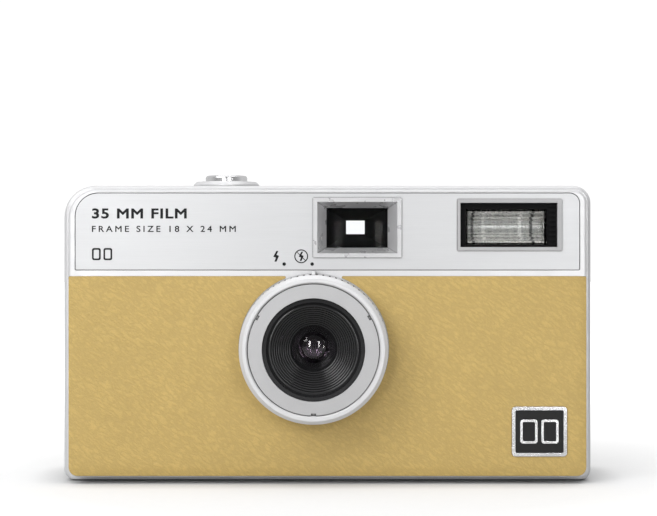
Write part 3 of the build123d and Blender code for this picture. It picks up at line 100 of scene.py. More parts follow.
class LeatherettePanel(bpy.types.PropertyGroup):
    """Shape of the leatherette panel."""
    roll_width: bpy.props.FloatProperty(
        name="Roll width", description="Width of the edge that rolls back", subtype="DISTANCE",
        unit="LENGTH", min=0.0005, max=0.006, default=0.0020)
    roll_depth: bpy.props.FloatProperty(
        name="Roll depth", description="How far the edge rolls back", subtype="DISTANCE",
        unit="LENGTH", min=0, max=0.0006, default=0.00032)
    grid: bpy.props.FloatProperty(
        name="Grid", description="Spacing of the panel's mesh", subtype="DISTANCE", unit="LENGTH",
        min=0.0005, max=0.005, default=0.001)
    waviness: bpy.props.FloatProperty(
        name="Waviness", description="Height of the glued panel's slow waves", subtype="DISTANCE",
        unit="LENGTH", min=0, max=0.0001, default=0.000018)
    grain: bpy.props.FloatProperty(
        name="Grain", description="Size of the embossed pebbles", subtype="DISTANCE", unit="LENGTH",
        min=0.0003, max=0.004, default=0.0010)


class LensRibs(bpy.types.PropertyGroup):
    """Shape of the ribbed funnel round the lens."""
    count: bpy.props.IntProperty(name="Ribs", description="Number of ribs", min=3, max=20, default=10)
    smoothness: bpy.props.IntProperty(
        name="Smoothness", description="Flats across a rib", min=3, max=12, default=6)
    around: bpy.props.IntProperty(
        name="Around", description="Flats round the axis", min=24, max=256, default=120)
    mouth: bpy.props.FloatProperty(
        name="Mouth", description="Radius where the ribs start", subtype="DISTANCE", unit="LENGTH",
        min=0.006, max=0.0095, default=0.0091)
    floor: bpy.props.FloatProperty(
        name="Floor", description="Radius where the ribs end", subtype="DISTANCE", unit="LENGTH",
        min=0.004, max=0.006, default=0.0048)
    depth: bpy.props.FloatProperty(
        name="Depth", description="Front of the cone to the last rib", subtype="DISTANCE",
        unit="LENGTH", min=0.003, max=0.007, default=0.0064)
    height: bpy.props.FloatProperty(
        name="Rib height", description="How far a rib stands up", subtype="DISTANCE", unit="LENGTH",
        min=0.00005, max=0.0005, default=0.00032)


class PrintedMarks(bpy.types.PropertyGroup):
    """Sizes of the printed marks on the face plate."""
    margin: bpy.props.FloatProperty(
        name="Margin", description="Left end of the plate to the first letter", subtype="DISTANCE",
        unit="LENGTH", min=0, max=0.02, default=0.0034)
    heading: bpy.props.FloatProperty(
        name="Heading height", description="Height of the heading's capitals", subtype="DISTANCE",
        unit="LENGTH", min=0.0005, max=0.005, default=0.00212)
    caption: bpy.props.FloatProperty(
        name="Caption height", description="Height of the caption's capitals", subtype="DISTANCE",
        unit="LENGTH", min=0.0005, max=0.005, default=0.00128)
    icon: bpy.props.FloatProperty(
        name="Icon height", description="Height of the two-frame sign", subtype="DISTANCE",
        unit="LENGTH", min=0.0005, max=0.006, default=0.0025)
    ink_depth: bpy.props.FloatProperty(
        name="Ink depth", description="How far the ink stands on the surface", subtype="DISTANCE",
        unit="LENGTH", min=0.000005, max=0.00005, default=0.000015)


class CameraStudio(bpy.types.PropertyGroup):
    """Camera and lights."""
    distance: bpy.props.FloatProperty(
        name="Distance", description="Viewpoint to the middle of the camera", subtype="DISTANCE",
        unit="LENGTH", min=0.2, max=2, default=0.365)
    height: bpy.props.FloatProperty(
        name="Height", description="Viewpoint above the base", subtype="DISTANCE", unit="LENGTH",
        min=0, max=1, default=0.0465)
    lens: bpy.props.FloatProperty(
        name="Lens", description="Focal length of the view", subtype="DISTANCE_CAMERA",
        unit="CAMERA", min=20, max=200, default=93.2)
    surround: bpy.props.FloatProperty(
        name="Surround", description="Strength of the white surround", min=0, max=3, default=0.69)


SETTINGS = {"camera_finishes": CameraFinishes, "leatherette_panel": LeatherettePanel,
            "lens_ribs": LensRibs, "printed_marks": PrintedMarks, "camera_studio": CameraStudio}


# ---------------------------------------------------------------- materials

class Finish:
    """A material and short ways to add nodes to it."""

    def __init__(self, name, **values):
        self.material = bpy.data.materials.new(name)
        self.material.use_nodes = True
        self.nodes = self.material.node_tree.nodes
        self.links = self.material.node_tree.links
        self.shader = self.nodes["Principled BSDF"]
        self.place = self.nodes.new("ShaderNodeTexCoord").outputs["Object"]
        self.normal = None
        for socket, value in values.items():
            self.shader.inputs[socket.replace("_", " ")].default_value = value

    def add(self, kind, **inputs):
        """New node whose inputs are set or linked, by name."""
        node = self.nodes.new(kind)
        for socket, value in inputs.items():
            self.feed(node.inputs[socket.replace("_", " ")], value)
        return node

    def feed(self, socket, value):
        if isinstance(value, bpy.types.NodeSocket):
            self.links.new(value, socket)
        else:
            socket.default_value = value

    def stretch(self, x, y, z, turn=0.0):
        """Object place turned about Y, with each axis squeezed by its own factor."""
        node = self.add("ShaderNodeMapping", Vector=self.place, Rotation=(0, radians(turn), 0))
        node.vector_type = "TEXTURE"
        node.inputs["Scale"].default_value = (1 / x, 1 / y, 1 / z)
        return node.outputs["Vector"]

    def maths(self, operation, *values):
        """Result of one operation on numbers or sockets."""
        node = self.add("ShaderNodeMath")
        node.operation = operation
        for socket, value in zip(node.inputs, values):
            self.feed(socket, value)
        return node.outputs[0]

    def bands(self, low, high, count):
        """Wave from 0 to 1 with count crests between two heights."""
        height = self.add("ShaderNodeSeparateXYZ", Vector=self.place).outputs["Z"]
        turns = self.span(height, 0.0, 2 * pi * count, low, high)
        return self.span(self.maths("COSINE", turns), 1.0, 0.0, -1.0, 1.0)

    def column(self, middle, half):
        """1 within half a width of a place along X, 0 elsewhere."""
        across = self.add("ShaderNodeSeparateXYZ", Vector=self.place).outputs["X"]
        away = self.maths("ABSOLUTE", self.maths("SUBTRACT", across, middle))
        return self.span(away, 1.0, 0.0, 0.7 * half, 1.3 * half)

    def speckle(self, size, detail=2.0, roughness=0.5, place=None):
        """Noise with features about size metres across, from 0 to 1."""
        node = self.add("ShaderNodeTexNoise", Vector=place or self.place, Scale=1 / size, Detail=detail,
                        Roughness=roughness)
        return node.outputs["Fac"]

    def wrinkles(self, size, place, detail=3.0):
        """Sharp-edged folds about size metres apart: 0 in a fold, towards 1 between them."""
        noise_value = self.speckle(size, detail, 0.55, place)
        away = self.maths("ABSOLUTE", self.maths("SUBTRACT", noise_value, 0.5))
        return self.span(away, 0.0, 1.0, 0.0, 0.14)

    def span(self, value, low, high, start=0.0, end=1.0):
        """Value rescaled from start..end to low..high, and held there."""
        node = self.add("ShaderNodeMapRange", Value=value)
        for place, number in enumerate((start, end, low, high), start=1):
            node.inputs[place].default_value = number
        return node.outputs["Result"]

    def blend(self, share, first, second):
        """Colour between first and second."""
        node = self.nodes.new("ShaderNodeMix")
        node.data_type = "RGBA"
        self.feed(node.inputs["Factor"], share)
        self.feed(node.inputs["A"], opaque(first))
        self.feed(node.inputs["B"], opaque(second))
        return node.outputs["Result"]

    def painted_gap_shade(self, colour, reach, darkest=0.05):
        """Colour darkened with painted shade from ambient occlusion in gaps about as narrow as reach."""
        gaps = self.add("ShaderNodeAmbientOcclusion", Distance=reach)
        gaps.samples = 12
        node = self.nodes.new("ShaderNodeMix")
        node.data_type = "RGBA"
        node.blend_type = "MULTIPLY"
        node.inputs["Factor"].default_value = 1.0
        self.feed(node.inputs["A"], colour)
        self.feed(node.inputs["B"], self.span(gaps.outputs["AO"], darkest, 1.0, 0.38, 0.85))
        return node.outputs["Result"]

    def soft_edges(self, radius):
        """Rounds sharp edges in the shading."""
        self.normal = self.add("ShaderNodeBevel", Radius=radius).outputs["Normal"]
        self.feed(self.shader.inputs["Normal"], self.normal)

    def bump(self, height, depth):
        """Relief of the given depth in metres, on top of what is there."""
        node = self.add("ShaderNodeBump", Height=height, Distance=depth, Strength=1.0)
        if self.normal:
            self.links.new(self.normal, node.inputs["Normal"])
        self.normal = node.outputs["Normal"]
        self.feed(self.shader.inputs["Normal"], self.normal)

    def colour(self, value):
        self.feed(self.shader.inputs["Base Color"], value)

    def rough(self, value):
        self.feed(self.shader.inputs["Roughness"], value)


def opaque(colour):
    """Colour with its alpha, or the socket that carries it."""
    return colour if isinstance(colour, bpy.types.NodeSocket) else (*colour[:3], 1.0)


def shade(colour, factor):
    """Colour made lighter or darker."""
    return tuple(min(1.0, channel * factor) for channel in colour)


def silver_paint(name, colour, metal=0.25, rough_low=0.30, rough_high=0.44):
    finish = Finish(name, Metallic=metal)
    finish.soft_edges(0.10 * MM)
    flake = finish.speckle(0.16 * MM, detail=1.0)
    cloud = finish.speckle(14 * MM, detail=3.0)
    tone = finish.blend(flake, shade(colour, 0.95), shade(colour, 1.04))
    tone = finish.blend(finish.span(cloud, 0.0, 0.35), tone, shade(colour, 0.93))
    # painted shade: the paint is darkened in narrow gaps by ambient occlusion
    finish.colour(finish.painted_gap_shade(tone, 0.5 * MM))
    finish.rough(finish.span(finish.speckle(3 * MM, detail=4.0), rough_low, rough_high, 0.3, 0.7))
    finish.bump(flake, 2.2 * MICRON)
    finish.bump(finish.speckle(1.1 * MM, detail=1.0), 3 * MICRON)
    return finish.material


def brushed_plate(colour):
    finish = Finish("brushed_face_plate", Metallic=0.25)
    finish.soft_edges(0.06 * MM)
    streaks = finish.speckle(0.11 * MM, detail=3.0, place=finish.stretch(0.016, 1, 1))
    broad = finish.speckle(0.7 * MM, detail=2.0, place=finish.stretch(0.02, 1, 1))
    tone = finish.blend(streaks, shade(colour, 0.93), shade(colour, 1.05))
    tone = finish.blend(finish.span(broad, 0.0, 0.3, 0.3, 0.7), tone, shade(colour, 0.93))
    # painted shade: the plate is darkened in narrow gaps by ambient occlusion
    finish.colour(finish.painted_gap_shade(tone, 0.5 * MM))
    finish.rough(finish.span(streaks, 0.30, 0.46, 0.25, 0.75))
    finish.bump(streaks, 2.2 * MICRON)
    return finish.material


def leatherette(colour, grain):
    """Coated panel with a pressed grain: slanting wrinkles, small pebbles and pores."""
    finish = Finish("ochre_leatherette", Sheen_Weight=0.05, Sheen_Roughness=0.5)
    hide = finish.speckle(7.5 * MM, detail=5.0, roughness=0.62)
    slanting = finish.wrinkles(grain, finish.stretch(0.38, 1, 1, turn=36))
    crossing = finish.wrinkles(0.7 * grain, finish.stretch(0.6, 1, 1, turn=-28), detail=2.0)
    pebbles = finish.speckle(0.55 * grain, detail=3.0, roughness=0.6)
    pores = finish.speckle(0.18 * grain, detail=2.0)
    tone = finish.blend(finish.span(hide, 0.0, 1.0, 0.3, 0.7), shade(colour, 0.95), shade(colour, 1.05))
    # painted shade: the leatherette is darker down in the slanting folds
    tone = finish.blend(finish.span(slanting, 0.55, 0.0), tone, shade(colour, 0.74))
    tone = finish.blend(finish.span(pores, 0.0, 0.6, 0.45, 0.7), tone, shade(colour, 0.78))
    # painted shade: the leatherette is darkened in narrow gaps by ambient occlusion
    finish.colour(finish.painted_gap_shade(tone, 0.5 * MM))
    finish.rough(finish.span(pebbles, 0.50, 0.66, 0.3, 0.7))
    finish.bump(hide, 90 * MICRON)
    finish.bump(slanting, 36 * MICRON)
    finish.bump(crossing, 18 * MICRON)
    finish.bump(pebbles, 55 * MICRON)
    finish.bump(pores, 14 * MICRON)
    return finish.material


def moulded_black(name, colour, rough_low, rough_high, grain, depth, edge=0.12 * MM, shine=0.5):
    """Black plastic whose fine spark texture has the given grain and depth."""
    finish = Finish(name, Specular_IOR_Level=shine)
    finish.soft_edges(edge)
    spark = finish.speckle(grain, detail=3.0, roughness=0.6)
    handled = finish.speckle(9 * MM, detail=3.0)
    tone = finish.blend(spark, shade(colour, 0.8), shade(colour, 1.35))
    finish.colour(finish.blend(finish.span(handled, 0.0, 0.5, 0.35, 0.75), tone, shade(colour, 1.7)))
    finish.rough(finish.span(handled, rough_low, rough_high, 0.3, 0.7))
    finish.bump(spark, depth)
    return finish.material


def ribbed_black(colour):
    """Black moulding whose crests catch the light, and whose grooves are darkened by painted shade from
    ambient occlusion.
    """
    finish = Finish("ribbed_lens_black", Specular_IOR_Level=0.40)
    spark = finish.speckle(0.3 * MM, detail=2.0)
    tone = finish.blend(spark, shade(colour, 0.85), shade(colour, 1.15))
    # painted shade: the grooves between the ribs are darkened by ambient occlusion
    finish.colour(finish.painted_gap_shade(tone, 0.6 * MM, darkest=0.02))
    finish.rough(finish.span(spark, 0.10, 0.15))
    finish.bump(spark, 1 * MICRON)
    return finish.material


def bright_metal(name, colour, rough_low, rough_high, along=(1, 1, 1)):
    """Bare or plated metal, with fine scratches along one axis."""
    finish = Finish(name, Metallic=1.0)
    finish.soft_edges(0.06 * MM)
    scratches = finish.speckle(0.09 * MM, detail=4.0, place=finish.stretch(*along))
    dulled = finish.speckle(4 * MM, detail=4.0)
    tone = finish.blend(scratches, shade(colour, 0.9), shade(colour, 1.06))
    finish.colour(finish.blend(finish.span(dulled, 0.0, 0.3, 0.4, 0.8), tone, shade(colour, 0.82)))
    finish.rough(finish.span(dulled, rough_low, rough_high, 0.3, 0.7))
    finish.bump(scratches, 1.2 * MICRON)
    return finish.material


def glass(name, tint, rough=0.0, bend=1.49):
    """Clear moulding or lens; bend is its refractive index."""
    finish = Finish(name, Transmission_Weight=1.0, IOR=bend)
    smear = finish.speckle(5 * MM, detail=3.0)
    finish.colour(finish.blend(smear, tint, shade(tint, 0.97)))
    finish.rough(finish.span(smear, rough, rough + 0.02, 0.45, 0.8))
    finish.bump(finish.speckle(2.5 * MM, detail=1.0), 1.5 * MICRON)
    return finish.material


def circuit_board():
    finish = Finish("green_circuit_board")
    tracks = finish.add("ShaderNodeTexBrick", Vector=finish.place, Scale=1 / (2.4 * MM))
    tracks.inputs["Color1"].default_value = (0.016, 0.075, 0.026, 1)
    tracks.inputs["Color2"].default_value = (0.020, 0.110, 0.034, 1)
    tracks.inputs["Mortar"].default_value = (0.30, 0.24, 0.10, 1)
    tracks.inputs["Mortar Size"].default_value = 0.02
    finish.colour(tracks.outputs["Color"])
    finish.rough(finish.span(finish.speckle(1.5 * MM), 0.3, 0.5))
    finish.bump(tracks.outputs["Fac"], 20 * MICRON)
    return finish.material


def flash_mirror():
    """Creased mirror behind the flash window, with painted light and shade across its creases, painted
    shade in its folds, two painted highlight columns and dark columns near both ends.
    """
    finish = Finish("flash_mirror", Metallic=0.45)
    low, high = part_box("flash_reflector")
    width = high.x - low.x
    creases = finish.bands(low.z, high.z, FLASH_CREASES)
    crumple = finish.wrinkles(0.9 * MM, finish.place)
    # painted light and shade: brighter on the crease crests, darker in the crease valleys
    tone = finish.blend(creases, (0.50, 0.50, 0.49), (0.98, 0.98, 0.96))
    # painted shade: darker down in the crumpled folds
    tone = finish.blend(finish.span(crumple, 0.4, 0.0), tone, (0.22, 0.22, 0.21))
    # painted highlight: two bright columns across the mirror
    for share in FLASH_GLINTS:
        glint = finish.column(low.x + share * width, 0.35 * MM)
        tone = finish.blend(finish.span(glint, 0.0, 0.75), tone, (1.0, 1.0, 0.98))
    # dark columns painted near both ends of the mirror
    for share in FLASH_DARK_COLUMNS:
        end = finish.column(low.x + share * width, 0.30 * MM)
        tone = finish.blend(finish.span(end, 0.0, 0.9), tone, (0.03, 0.03, 0.03))
    finish.colour(tone)
    finish.rough(finish.span(crumple, 0.34, 0.22))
    finish.bump(creases, 0.12 * MM)
    finish.bump(crumple, 60 * MICRON)
    return finish.material


def seal_foam():
    finish = Finish("light_seal_foam", Sheen_Weight=0.3)
    bubbles = finish.add("ShaderNodeTexVoronoi", Vector=finish.place, Scale=1 / (0.35 * MM))
    # painted shade: each bubble is darker towards its sunken middle
    finish.colour(finish.blend(bubbles.outputs["Distance"], (0.006, 0.006, 0.006), (0.030, 0.030, 0.031)))
    finish.rough(finish.span(bubbles.outputs["Distance"], 0.8, 0.97))
    finish.bump(bubbles.outputs["Distance"], 90 * MICRON)
    return finish.material


def amber_lamp():
    finish = Finish("amber_ready_lamp", Transmission_Weight=0.55, IOR=1.5)
    swirl = finish.speckle(1.2 * MM, detail=3.0)
    finish.colour(finish.blend(swirl, (0.85, 0.25, 0.02), (0.95, 0.42, 0.05)))
    finish.rough(finish.span(swirl, 0.12, 0.25))
    finish.bump(swirl, 4 * MICRON)
    return finish.material


def dial_paint():
    finish = Finish("dial_white_paint")
    finish.soft_edges(0.05 * MM)
    grain = finish.speckle(0.2 * MM, detail=3.0)
    finish.colour(finish.blend(grain, (0.72, 0.72, 0.70), (0.83, 0.83, 0.81)))
    finish.rough(finish.span(grain, 0.4, 0.6))
    finish.bump(grain, 2 * MICRON)
    return finish.material


def printing_ink(colour):
    finish = Finish("black_print", Specular_IOR_Level=0.15)
    screen = finish.speckle(0.12 * MM, detail=2.0)
    finish.colour(finish.blend(screen, shade(colour, 0.8), shade(colour, 1.6)))
    finish.rough(finish.span(screen, 0.42, 0.6))
    finish.bump(screen, 2 * MICRON)
    return finish.material


def slot_finishes():
    """One material for each material slot of the record."""
    colours = bpy.context.scene.camera_finishes
    black = tuple(colours.black)
    return {
        "silver_plastic": silver_paint("satin_silver_paint", tuple(colours.silver), 0.25),
        "face_plate": brushed_plate(tuple(colours.plate)),
        "leatherette": leatherette(tuple(colours.leatherette),
                                   bpy.context.scene.leatherette_panel.grain),
        "badge_metal": bright_metal("plated_trim", (0.80, 0.80, 0.81), 0.16, 0.28),
        "badge_black": moulded_black("inlay_black", shade(black, 0.5), 0.34, 0.44, 0.5 * MM,
                                     1 * MICRON, shine=0.25),
        "black_plastic": moulded_black("textured_black_plastic", black, 0.42, 0.6, 0.22 * MM, 14 * MICRON),
        "black_gloss": moulded_black("smooth_black_plastic", shade(black, 0.8), 0.20, 0.30, 0.3 * MM,
                                     1.5 * MICRON),
        "optical": glass("window_glass", (0.98, 0.99, 1.0)),
        "clear_plastic": glass("clear_moulding", (0.97, 0.98, 0.99), rough=0.03),
        "steel": bright_metal("spring_steel", (0.56, 0.56, 0.57), 0.22, 0.4, along=(1, 1, 0.08)),
        "brass": bright_metal("plated_brass", (0.78, 0.60, 0.32), 0.2, 0.38, along=(0.08, 1, 1)),
        "reflector": bright_metal("mirrored_reflector", (0.90, 0.90, 0.91), 0.05, 0.10),
        "board": circuit_board(),
        "foam": seal_foam(),
        "amber": amber_lamp(),
        "dial_white": dial_paint(),
    }


def node_finishes():
    """Materials of single nodes that differ from the rest of their slot."""
    colours = bpy.context.scene.camera_finishes
    silver = tuple(colours.silver)
    black = tuple(colours.black)
    trim = silver_paint("window_frame_silver", shade(silver, 0.86), 0.5, 0.24, 0.36)
    lining = moulded_black("matte_black_lining", shade(black, 0.5), 0.8, 0.95, 0.3 * MM, 12 * MICRON,
                           shine=0.05)
    finder = glass("finder_glass", (0.98, 0.99, 1.0), bend=1.10)
    return {
        "front_lens": glass("coated_lens_glass", (0.66, 0.52, 0.68)),
        "flash_lens": glass("flash_window", (0.98, 0.98, 0.97), bend=1.22),
        "flash_reflector": flash_mirror(),
        "flash_holder": lining,
        "lens_bezel": silver_paint("lens_bezel_silver", shade(silver, 0.70)),
        "lens_cone": ribbed_black(shade(black, 0.9)),
        "viewfinder_bezel": trim,
        # painted shade: a darker copy of the silver paint, toned down against the softbox's reflection
        "flash_bezel": silver_paint("flash_frame_silver", shade(silver, 0.62), 0.2, 0.4, 0.52),
        "viewfinder_tunnel": lining,
        "light_box": lining,
        "aperture_plate": lining,
        "shutter_housing": lining,
        "shutter_blade": lining,
        "viewfinder_front_lens": finder,
        "viewfinder_eye_lens": finder,
    }


# ---------------------------------------------------------------- shapes

def new_piece(name, mesh, material, body):
    """Object for a mesh in row coordinates, riding on a body."""
    piece = bpy.data.objects.new(name, mesh)
    bpy.context.scene.collection.objects.link(piece)
    mesh.materials.clear()
    mesh.materials.append(material)
    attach(piece, body)
    return piece


def outline_curve(name, outlines, thick):
    """Flat filled shape; outlines inside others are holes."""
    curve = bpy.data.curves.new(name, "CURVE")
    curve.dimensions = "2D"
    curve.fill_mode = "BOTH"
    curve.extrude = thick
    for outline in outlines:
        spline = curve.splines.new("POLY")
        spline.points.add(len(outline) - 1)
        for point, (x, y) in zip(spline.points, outline):
            point.co = (x, y, 0, 1)
        spline.use_cyclic_u = True
    return curve


def curve_mesh(curve):
    """Mesh of a curve or text, and the curve is removed."""
    holder = bpy.data.objects.new(curve.name, curve)
    bpy.context.scene.collection.objects.link(holder)
    bpy.context.view_layer.update()
    shape = holder.evaluated_get(bpy.context.evaluated_depsgraph_get())
    mesh = bpy.data.meshes.new_from_object(shape)
    bpy.data.objects.remove(holder)
    return mesh


def weld(mesh):
    """Joins the mesh's doubled points and turns its faces outwards."""
    work = bmesh.new()
    work.from_mesh(mesh)
    bmesh.ops.remove_doubles(work, verts=work.verts, dist=0.5 * MICRON)
    bmesh.ops.recalc_face_normals(work, faces=work.faces)
    work.to_mesh(mesh)
    work.free()


def turned_mesh(name, profile, centre, around):
    """Closed profile of radius and Y turned about the axis through the centre."""
    work = bmesh.new()
    rings = []
    for index in range(around):
        angle = 2 * pi * index / around
        rings.append([work.verts.new((centre.x + radius * cos(angle), y, centre.z + radius * sin(angle)))
                      for radius, y in profile])
    for first, second in zip(rings, rings[1:] + rings[:1]):
        for index in range(len(profile)):
            after = (index + 1) % len(profile)
            work.faces.new((first[index], first[after], second[after], second[index]))
    bmesh.ops.recalc_face_normals(work, faces=work.faces)
    mesh = bpy.data.meshes.new(name)
    work.to_mesh(mesh)
    work.free()
    return mesh


def stand_up(mesh, x, y, z):
    """Turns a shape drawn in XY to face the front, with its origin at the given place."""
    mesh.transform(Matrix.Translation((x, y, z)) @ Matrix.Rotation(pi / 2, 4, "X"))
    weld(mesh)


def fitted_text(words, height, width, thick, bold=0.0, tracking=1.0):
    """Letters with their lower left corner at the origin and the given height and width."""
    text = bpy.data.curves.new("letters", "FONT")
    text.body = words
    text.size = 1.0
    text.space_character = tracking
    text.bevel_depth = bold
    text.bevel_resolution = 0
    text.extrude = 0.05
    text.resolution_u = 6
    mesh = curve_mesh(text)
    xs = [point.co.x for point in mesh.vertices]
    ys = [point.co.y for point in mesh.vertices]
    low = Vector((min(xs), min(ys), 0))
    size = Vector((max(xs), max(ys), 0)) - low
    across = width / size.x if width else height / size.y
    deep = max(point.co.z for point in mesh.vertices)
    mesh.transform(Matrix.Diagonal((across, height / size.y, thick / deep, 1)) @ Matrix.Translation(-low))
    return mesh


def circle(x, y, radius, count=48):
    return [(x + radius * cos(2 * pi * i / count), y + radius * sin(2 * pi * i / count))
            for i in range(count)]


def round_box(left, right, low, high, radius, steps=6):
    """Rectangle with round corners."""
    corners = ((right - radius, high - radius, 0), (left + radius, high - radius, 1),
               (left + radius, low + radius, 2), (right - radius, low + radius, 3))
    points = []
    for x, y, quarter in corners:
        for i in range(steps + 1):
            angle = pi / 2 * (quarter + i / steps)
            points.append((x + radius * cos(angle), y + radius * sin(angle)))
    return points


def bolt(x, y, height):
    """Lightning sign for the flash."""
    shape = ((0.02, 0.50), (-0.27, -0.03), (-0.03, -0.12), (-0.16, -0.50), (0.03, -0.50), (0.27, 0.05),
             (0.03, 0.14), (0.21, 0.50))
    return [(x + height * px, y + height * py) for px, py in shape]


def two_frames(left, low, height, line):
    """Sign of two upright picture frames side by side."""
    width = height * 0.72
    outlines = []
    for index in range(2):
        start = left + index * (width + 1.6 * line)
        outlines.append(round_box(start, start + width, low, low + height, 1.2 * line))
        outlines.append(round_box(start + line, start + width - line, low + line, low + height - line,
                                  0.5 * line))
    return outlines


# ---------------------------------------------------------------- pieces

class CAMERA_OT_cad_finishes(bpy.types.Operator):
    """Gives every CAD node the finish of its material slot"""
    bl_idname = "half_frame.cad_finishes"
    bl_label = "Finish the mouldings"

    def execute(self, context):
        by_slot = slot_finishes()
        by_node = node_finishes()
        slots = {part["node"]: part["material_slot"] for part in frame["record"]["subparts"]}
        for name, node in frame["nodes"].items():
            material = by_node.get(name) or by_slot[slots[name]]
            for slot in node.material_slots:
                slot.material = material
        return {"FINISHED"}


class CAMERA_OT_leatherette(bpy.types.Operator):
    """Makes the embossed panel, whose outer edges roll back into the cover"""
    bl_idname = "half_frame.leatherette"
    bl_label = "Leatherette panel"

    def execute(self, context):
        panel = context.scene.leatherette_panel
        work = bmesh.new()
        work.from_mesh(frame["nodes"]["front_leatherette"].data)
        bmesh.ops.remove_doubles(work, verts=work.verts, dist=0.5 * MICRON)
        bmesh.ops.dissolve_limit(work, angle_limit=radians(1), verts=work.verts, edges=work.edges)
        for axis, normal in ((0, (1, 0, 0)), (2, (0, 0, 1))):
            count = round((PANEL_HIGH[axis] - PANEL_LOW[axis]) / panel.grid)
            for index in range(1, count):
                place = Vector((0, 0, 0))
                place[axis] = PANEL_LOW[axis] + (PANEL_HIGH[axis] - PANEL_LOW[axis]) * index / count
                every = work.verts[:] + work.edges[:] + work.faces[:]
                bmesh.ops.bisect_plane(work, geom=every, plane_co=place, plane_no=normal, dist=MICRON)
        for point in work.verts:
            if point.co.y < PANEL_LOW.y + MICRON:
                point.co.y += self.set_back(point.co, panel)
        mesh = bpy.data.meshes.new("leatherette_panel")
        work.to_mesh(mesh)
        work.free()
        mesh.shade_smooth()
        mesh.set_sharp_from_angle(angle=radians(40))
        material = frame["nodes"]["front_leatherette"].material_slots[0].material
        piece = new_piece("leatherette_panel", mesh, material, ROOT)
        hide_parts("front_leatherette")
        return {"FINISHED"}

    @staticmethod
    def set_back(place, panel):
        """How far a point of the front face lies behind the flat."""
        edge = min(place.x - PANEL_LOW.x, PANEL_HIGH.x - place.x, place.z - PANEL_LOW.z)
        share = max(0.0, 1 - edge / panel.roll_width)
        wave = noise.noise(place / (9 * MM)) * 0.5 + 0.5
        return panel.roll_depth * share ** 2.2 + panel.waviness * wave


class CAMERA_OT_lens_ribs(bpy.types.Operator):
    """Turns the lens cone with rounded ribs down its funnel"""
    bl_idname = "half_frame.lens_ribs"
    bl_label = "Ribbed lens cone"
    MOUTH_BEVEL = 0.5 * MM
    MOUTH_SETBACK = 0.6 * MM
    BARREL_WALL = 1.4 * MM
    FLANGE_FRONT = 1.2 * MM
    FLANGE_BACK = 3.0 * MM
    FLANGE_LIP = 0.75 * MM

    def execute(self, context):
        lens = context.scene.lens_ribs
        front = CONE_LOW.y
        mouth = Vector((lens.mouth, front + self.MOUTH_SETBACK))
        floor = Vector((lens.floor, front + lens.depth))
        glass_edge = (LENS_HIGH.x - LENS_LOW.x) / 2
        profile = [(mouth.x + self.MOUTH_BEVEL, front), tuple(mouth)]
        step = (floor - mouth) / lens.count
        inward = Vector((-step.y, step.x)).normalized() * lens.height
        for index in range(lens.count):
            for part in range(1, lens.smoothness + 1):
                angle = pi * part / lens.smoothness
                along = index + (1 - cos(angle)) / 2
                profile.append(tuple(mouth + step * along + inward * sin(angle)))
        barrel = glass_edge + self.BARREL_WALL
        profile += [(glass_edge, LENS_LOW.y), (glass_edge, CONE_HIGH.y), (barrel, CONE_HIGH.y),
                    (barrel, LENS_LOW.y)]
        flange = (CONE_HIGH.x - CONE_LOW.x) / 2
        collar = flange - self.FLANGE_LIP
        profile += [(flange, front + self.FLANGE_BACK), (flange, front + self.FLANGE_FRONT),
                    (collar, front + self.FLANGE_FRONT), (collar, front)]
        mesh = turned_mesh("ribbed_lens_cone", profile, (CONE_LOW + CONE_HIGH) / 2, lens.around)
        mesh.shade_smooth()
        mesh.set_sharp_from_angle(angle=radians(50))
        material = frame["nodes"]["lens_cone"].material_slots[0].material
        piece = new_piece("ribbed_lens_cone", mesh, material, ROOT)
        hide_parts("lens_cone")
        return {"FINISHED"}


class CAMERA_OT_plate_words(bpy.types.Operator):
    """Prints the heading and the caption on the face plate"""
    bl_idname = "half_frame.plate_words"
    bl_label = "Printed words"
    HEADING_WIDTH = 19.5 * MM
    HEADING_DROP = 5.2 * MM
    CAPTION_WIDTH = 29.6 * MM
    CAPTION_DROP = 7.95 * MM

    def execute(self, context):
        marks = context.scene.printed_marks
        ink = printing_ink(tuple(context.scene.camera_finishes.ink))
        lines = (("print_heading", "35 MM FILM", marks.heading, self.HEADING_WIDTH, self.HEADING_DROP,
                  0.030, 1.12),
                 ("print_caption", "FRAME SIZE 18 X 24 MM", marks.caption, self.CAPTION_WIDTH,
                  self.CAPTION_DROP, 0.014, 1.45))
        for name, words, height, width, drop, bold, tracking in lines:
            mesh = fitted_text(words, height, width, marks.ink_depth, bold, tracking)
            stand_up(mesh, PLATE_LOW.x + marks.margin, PLATE_LOW.y, PLATE_HIGH.z - drop)
            new_piece(name, mesh, ink, ROOT)
        return {"FINISHED"}


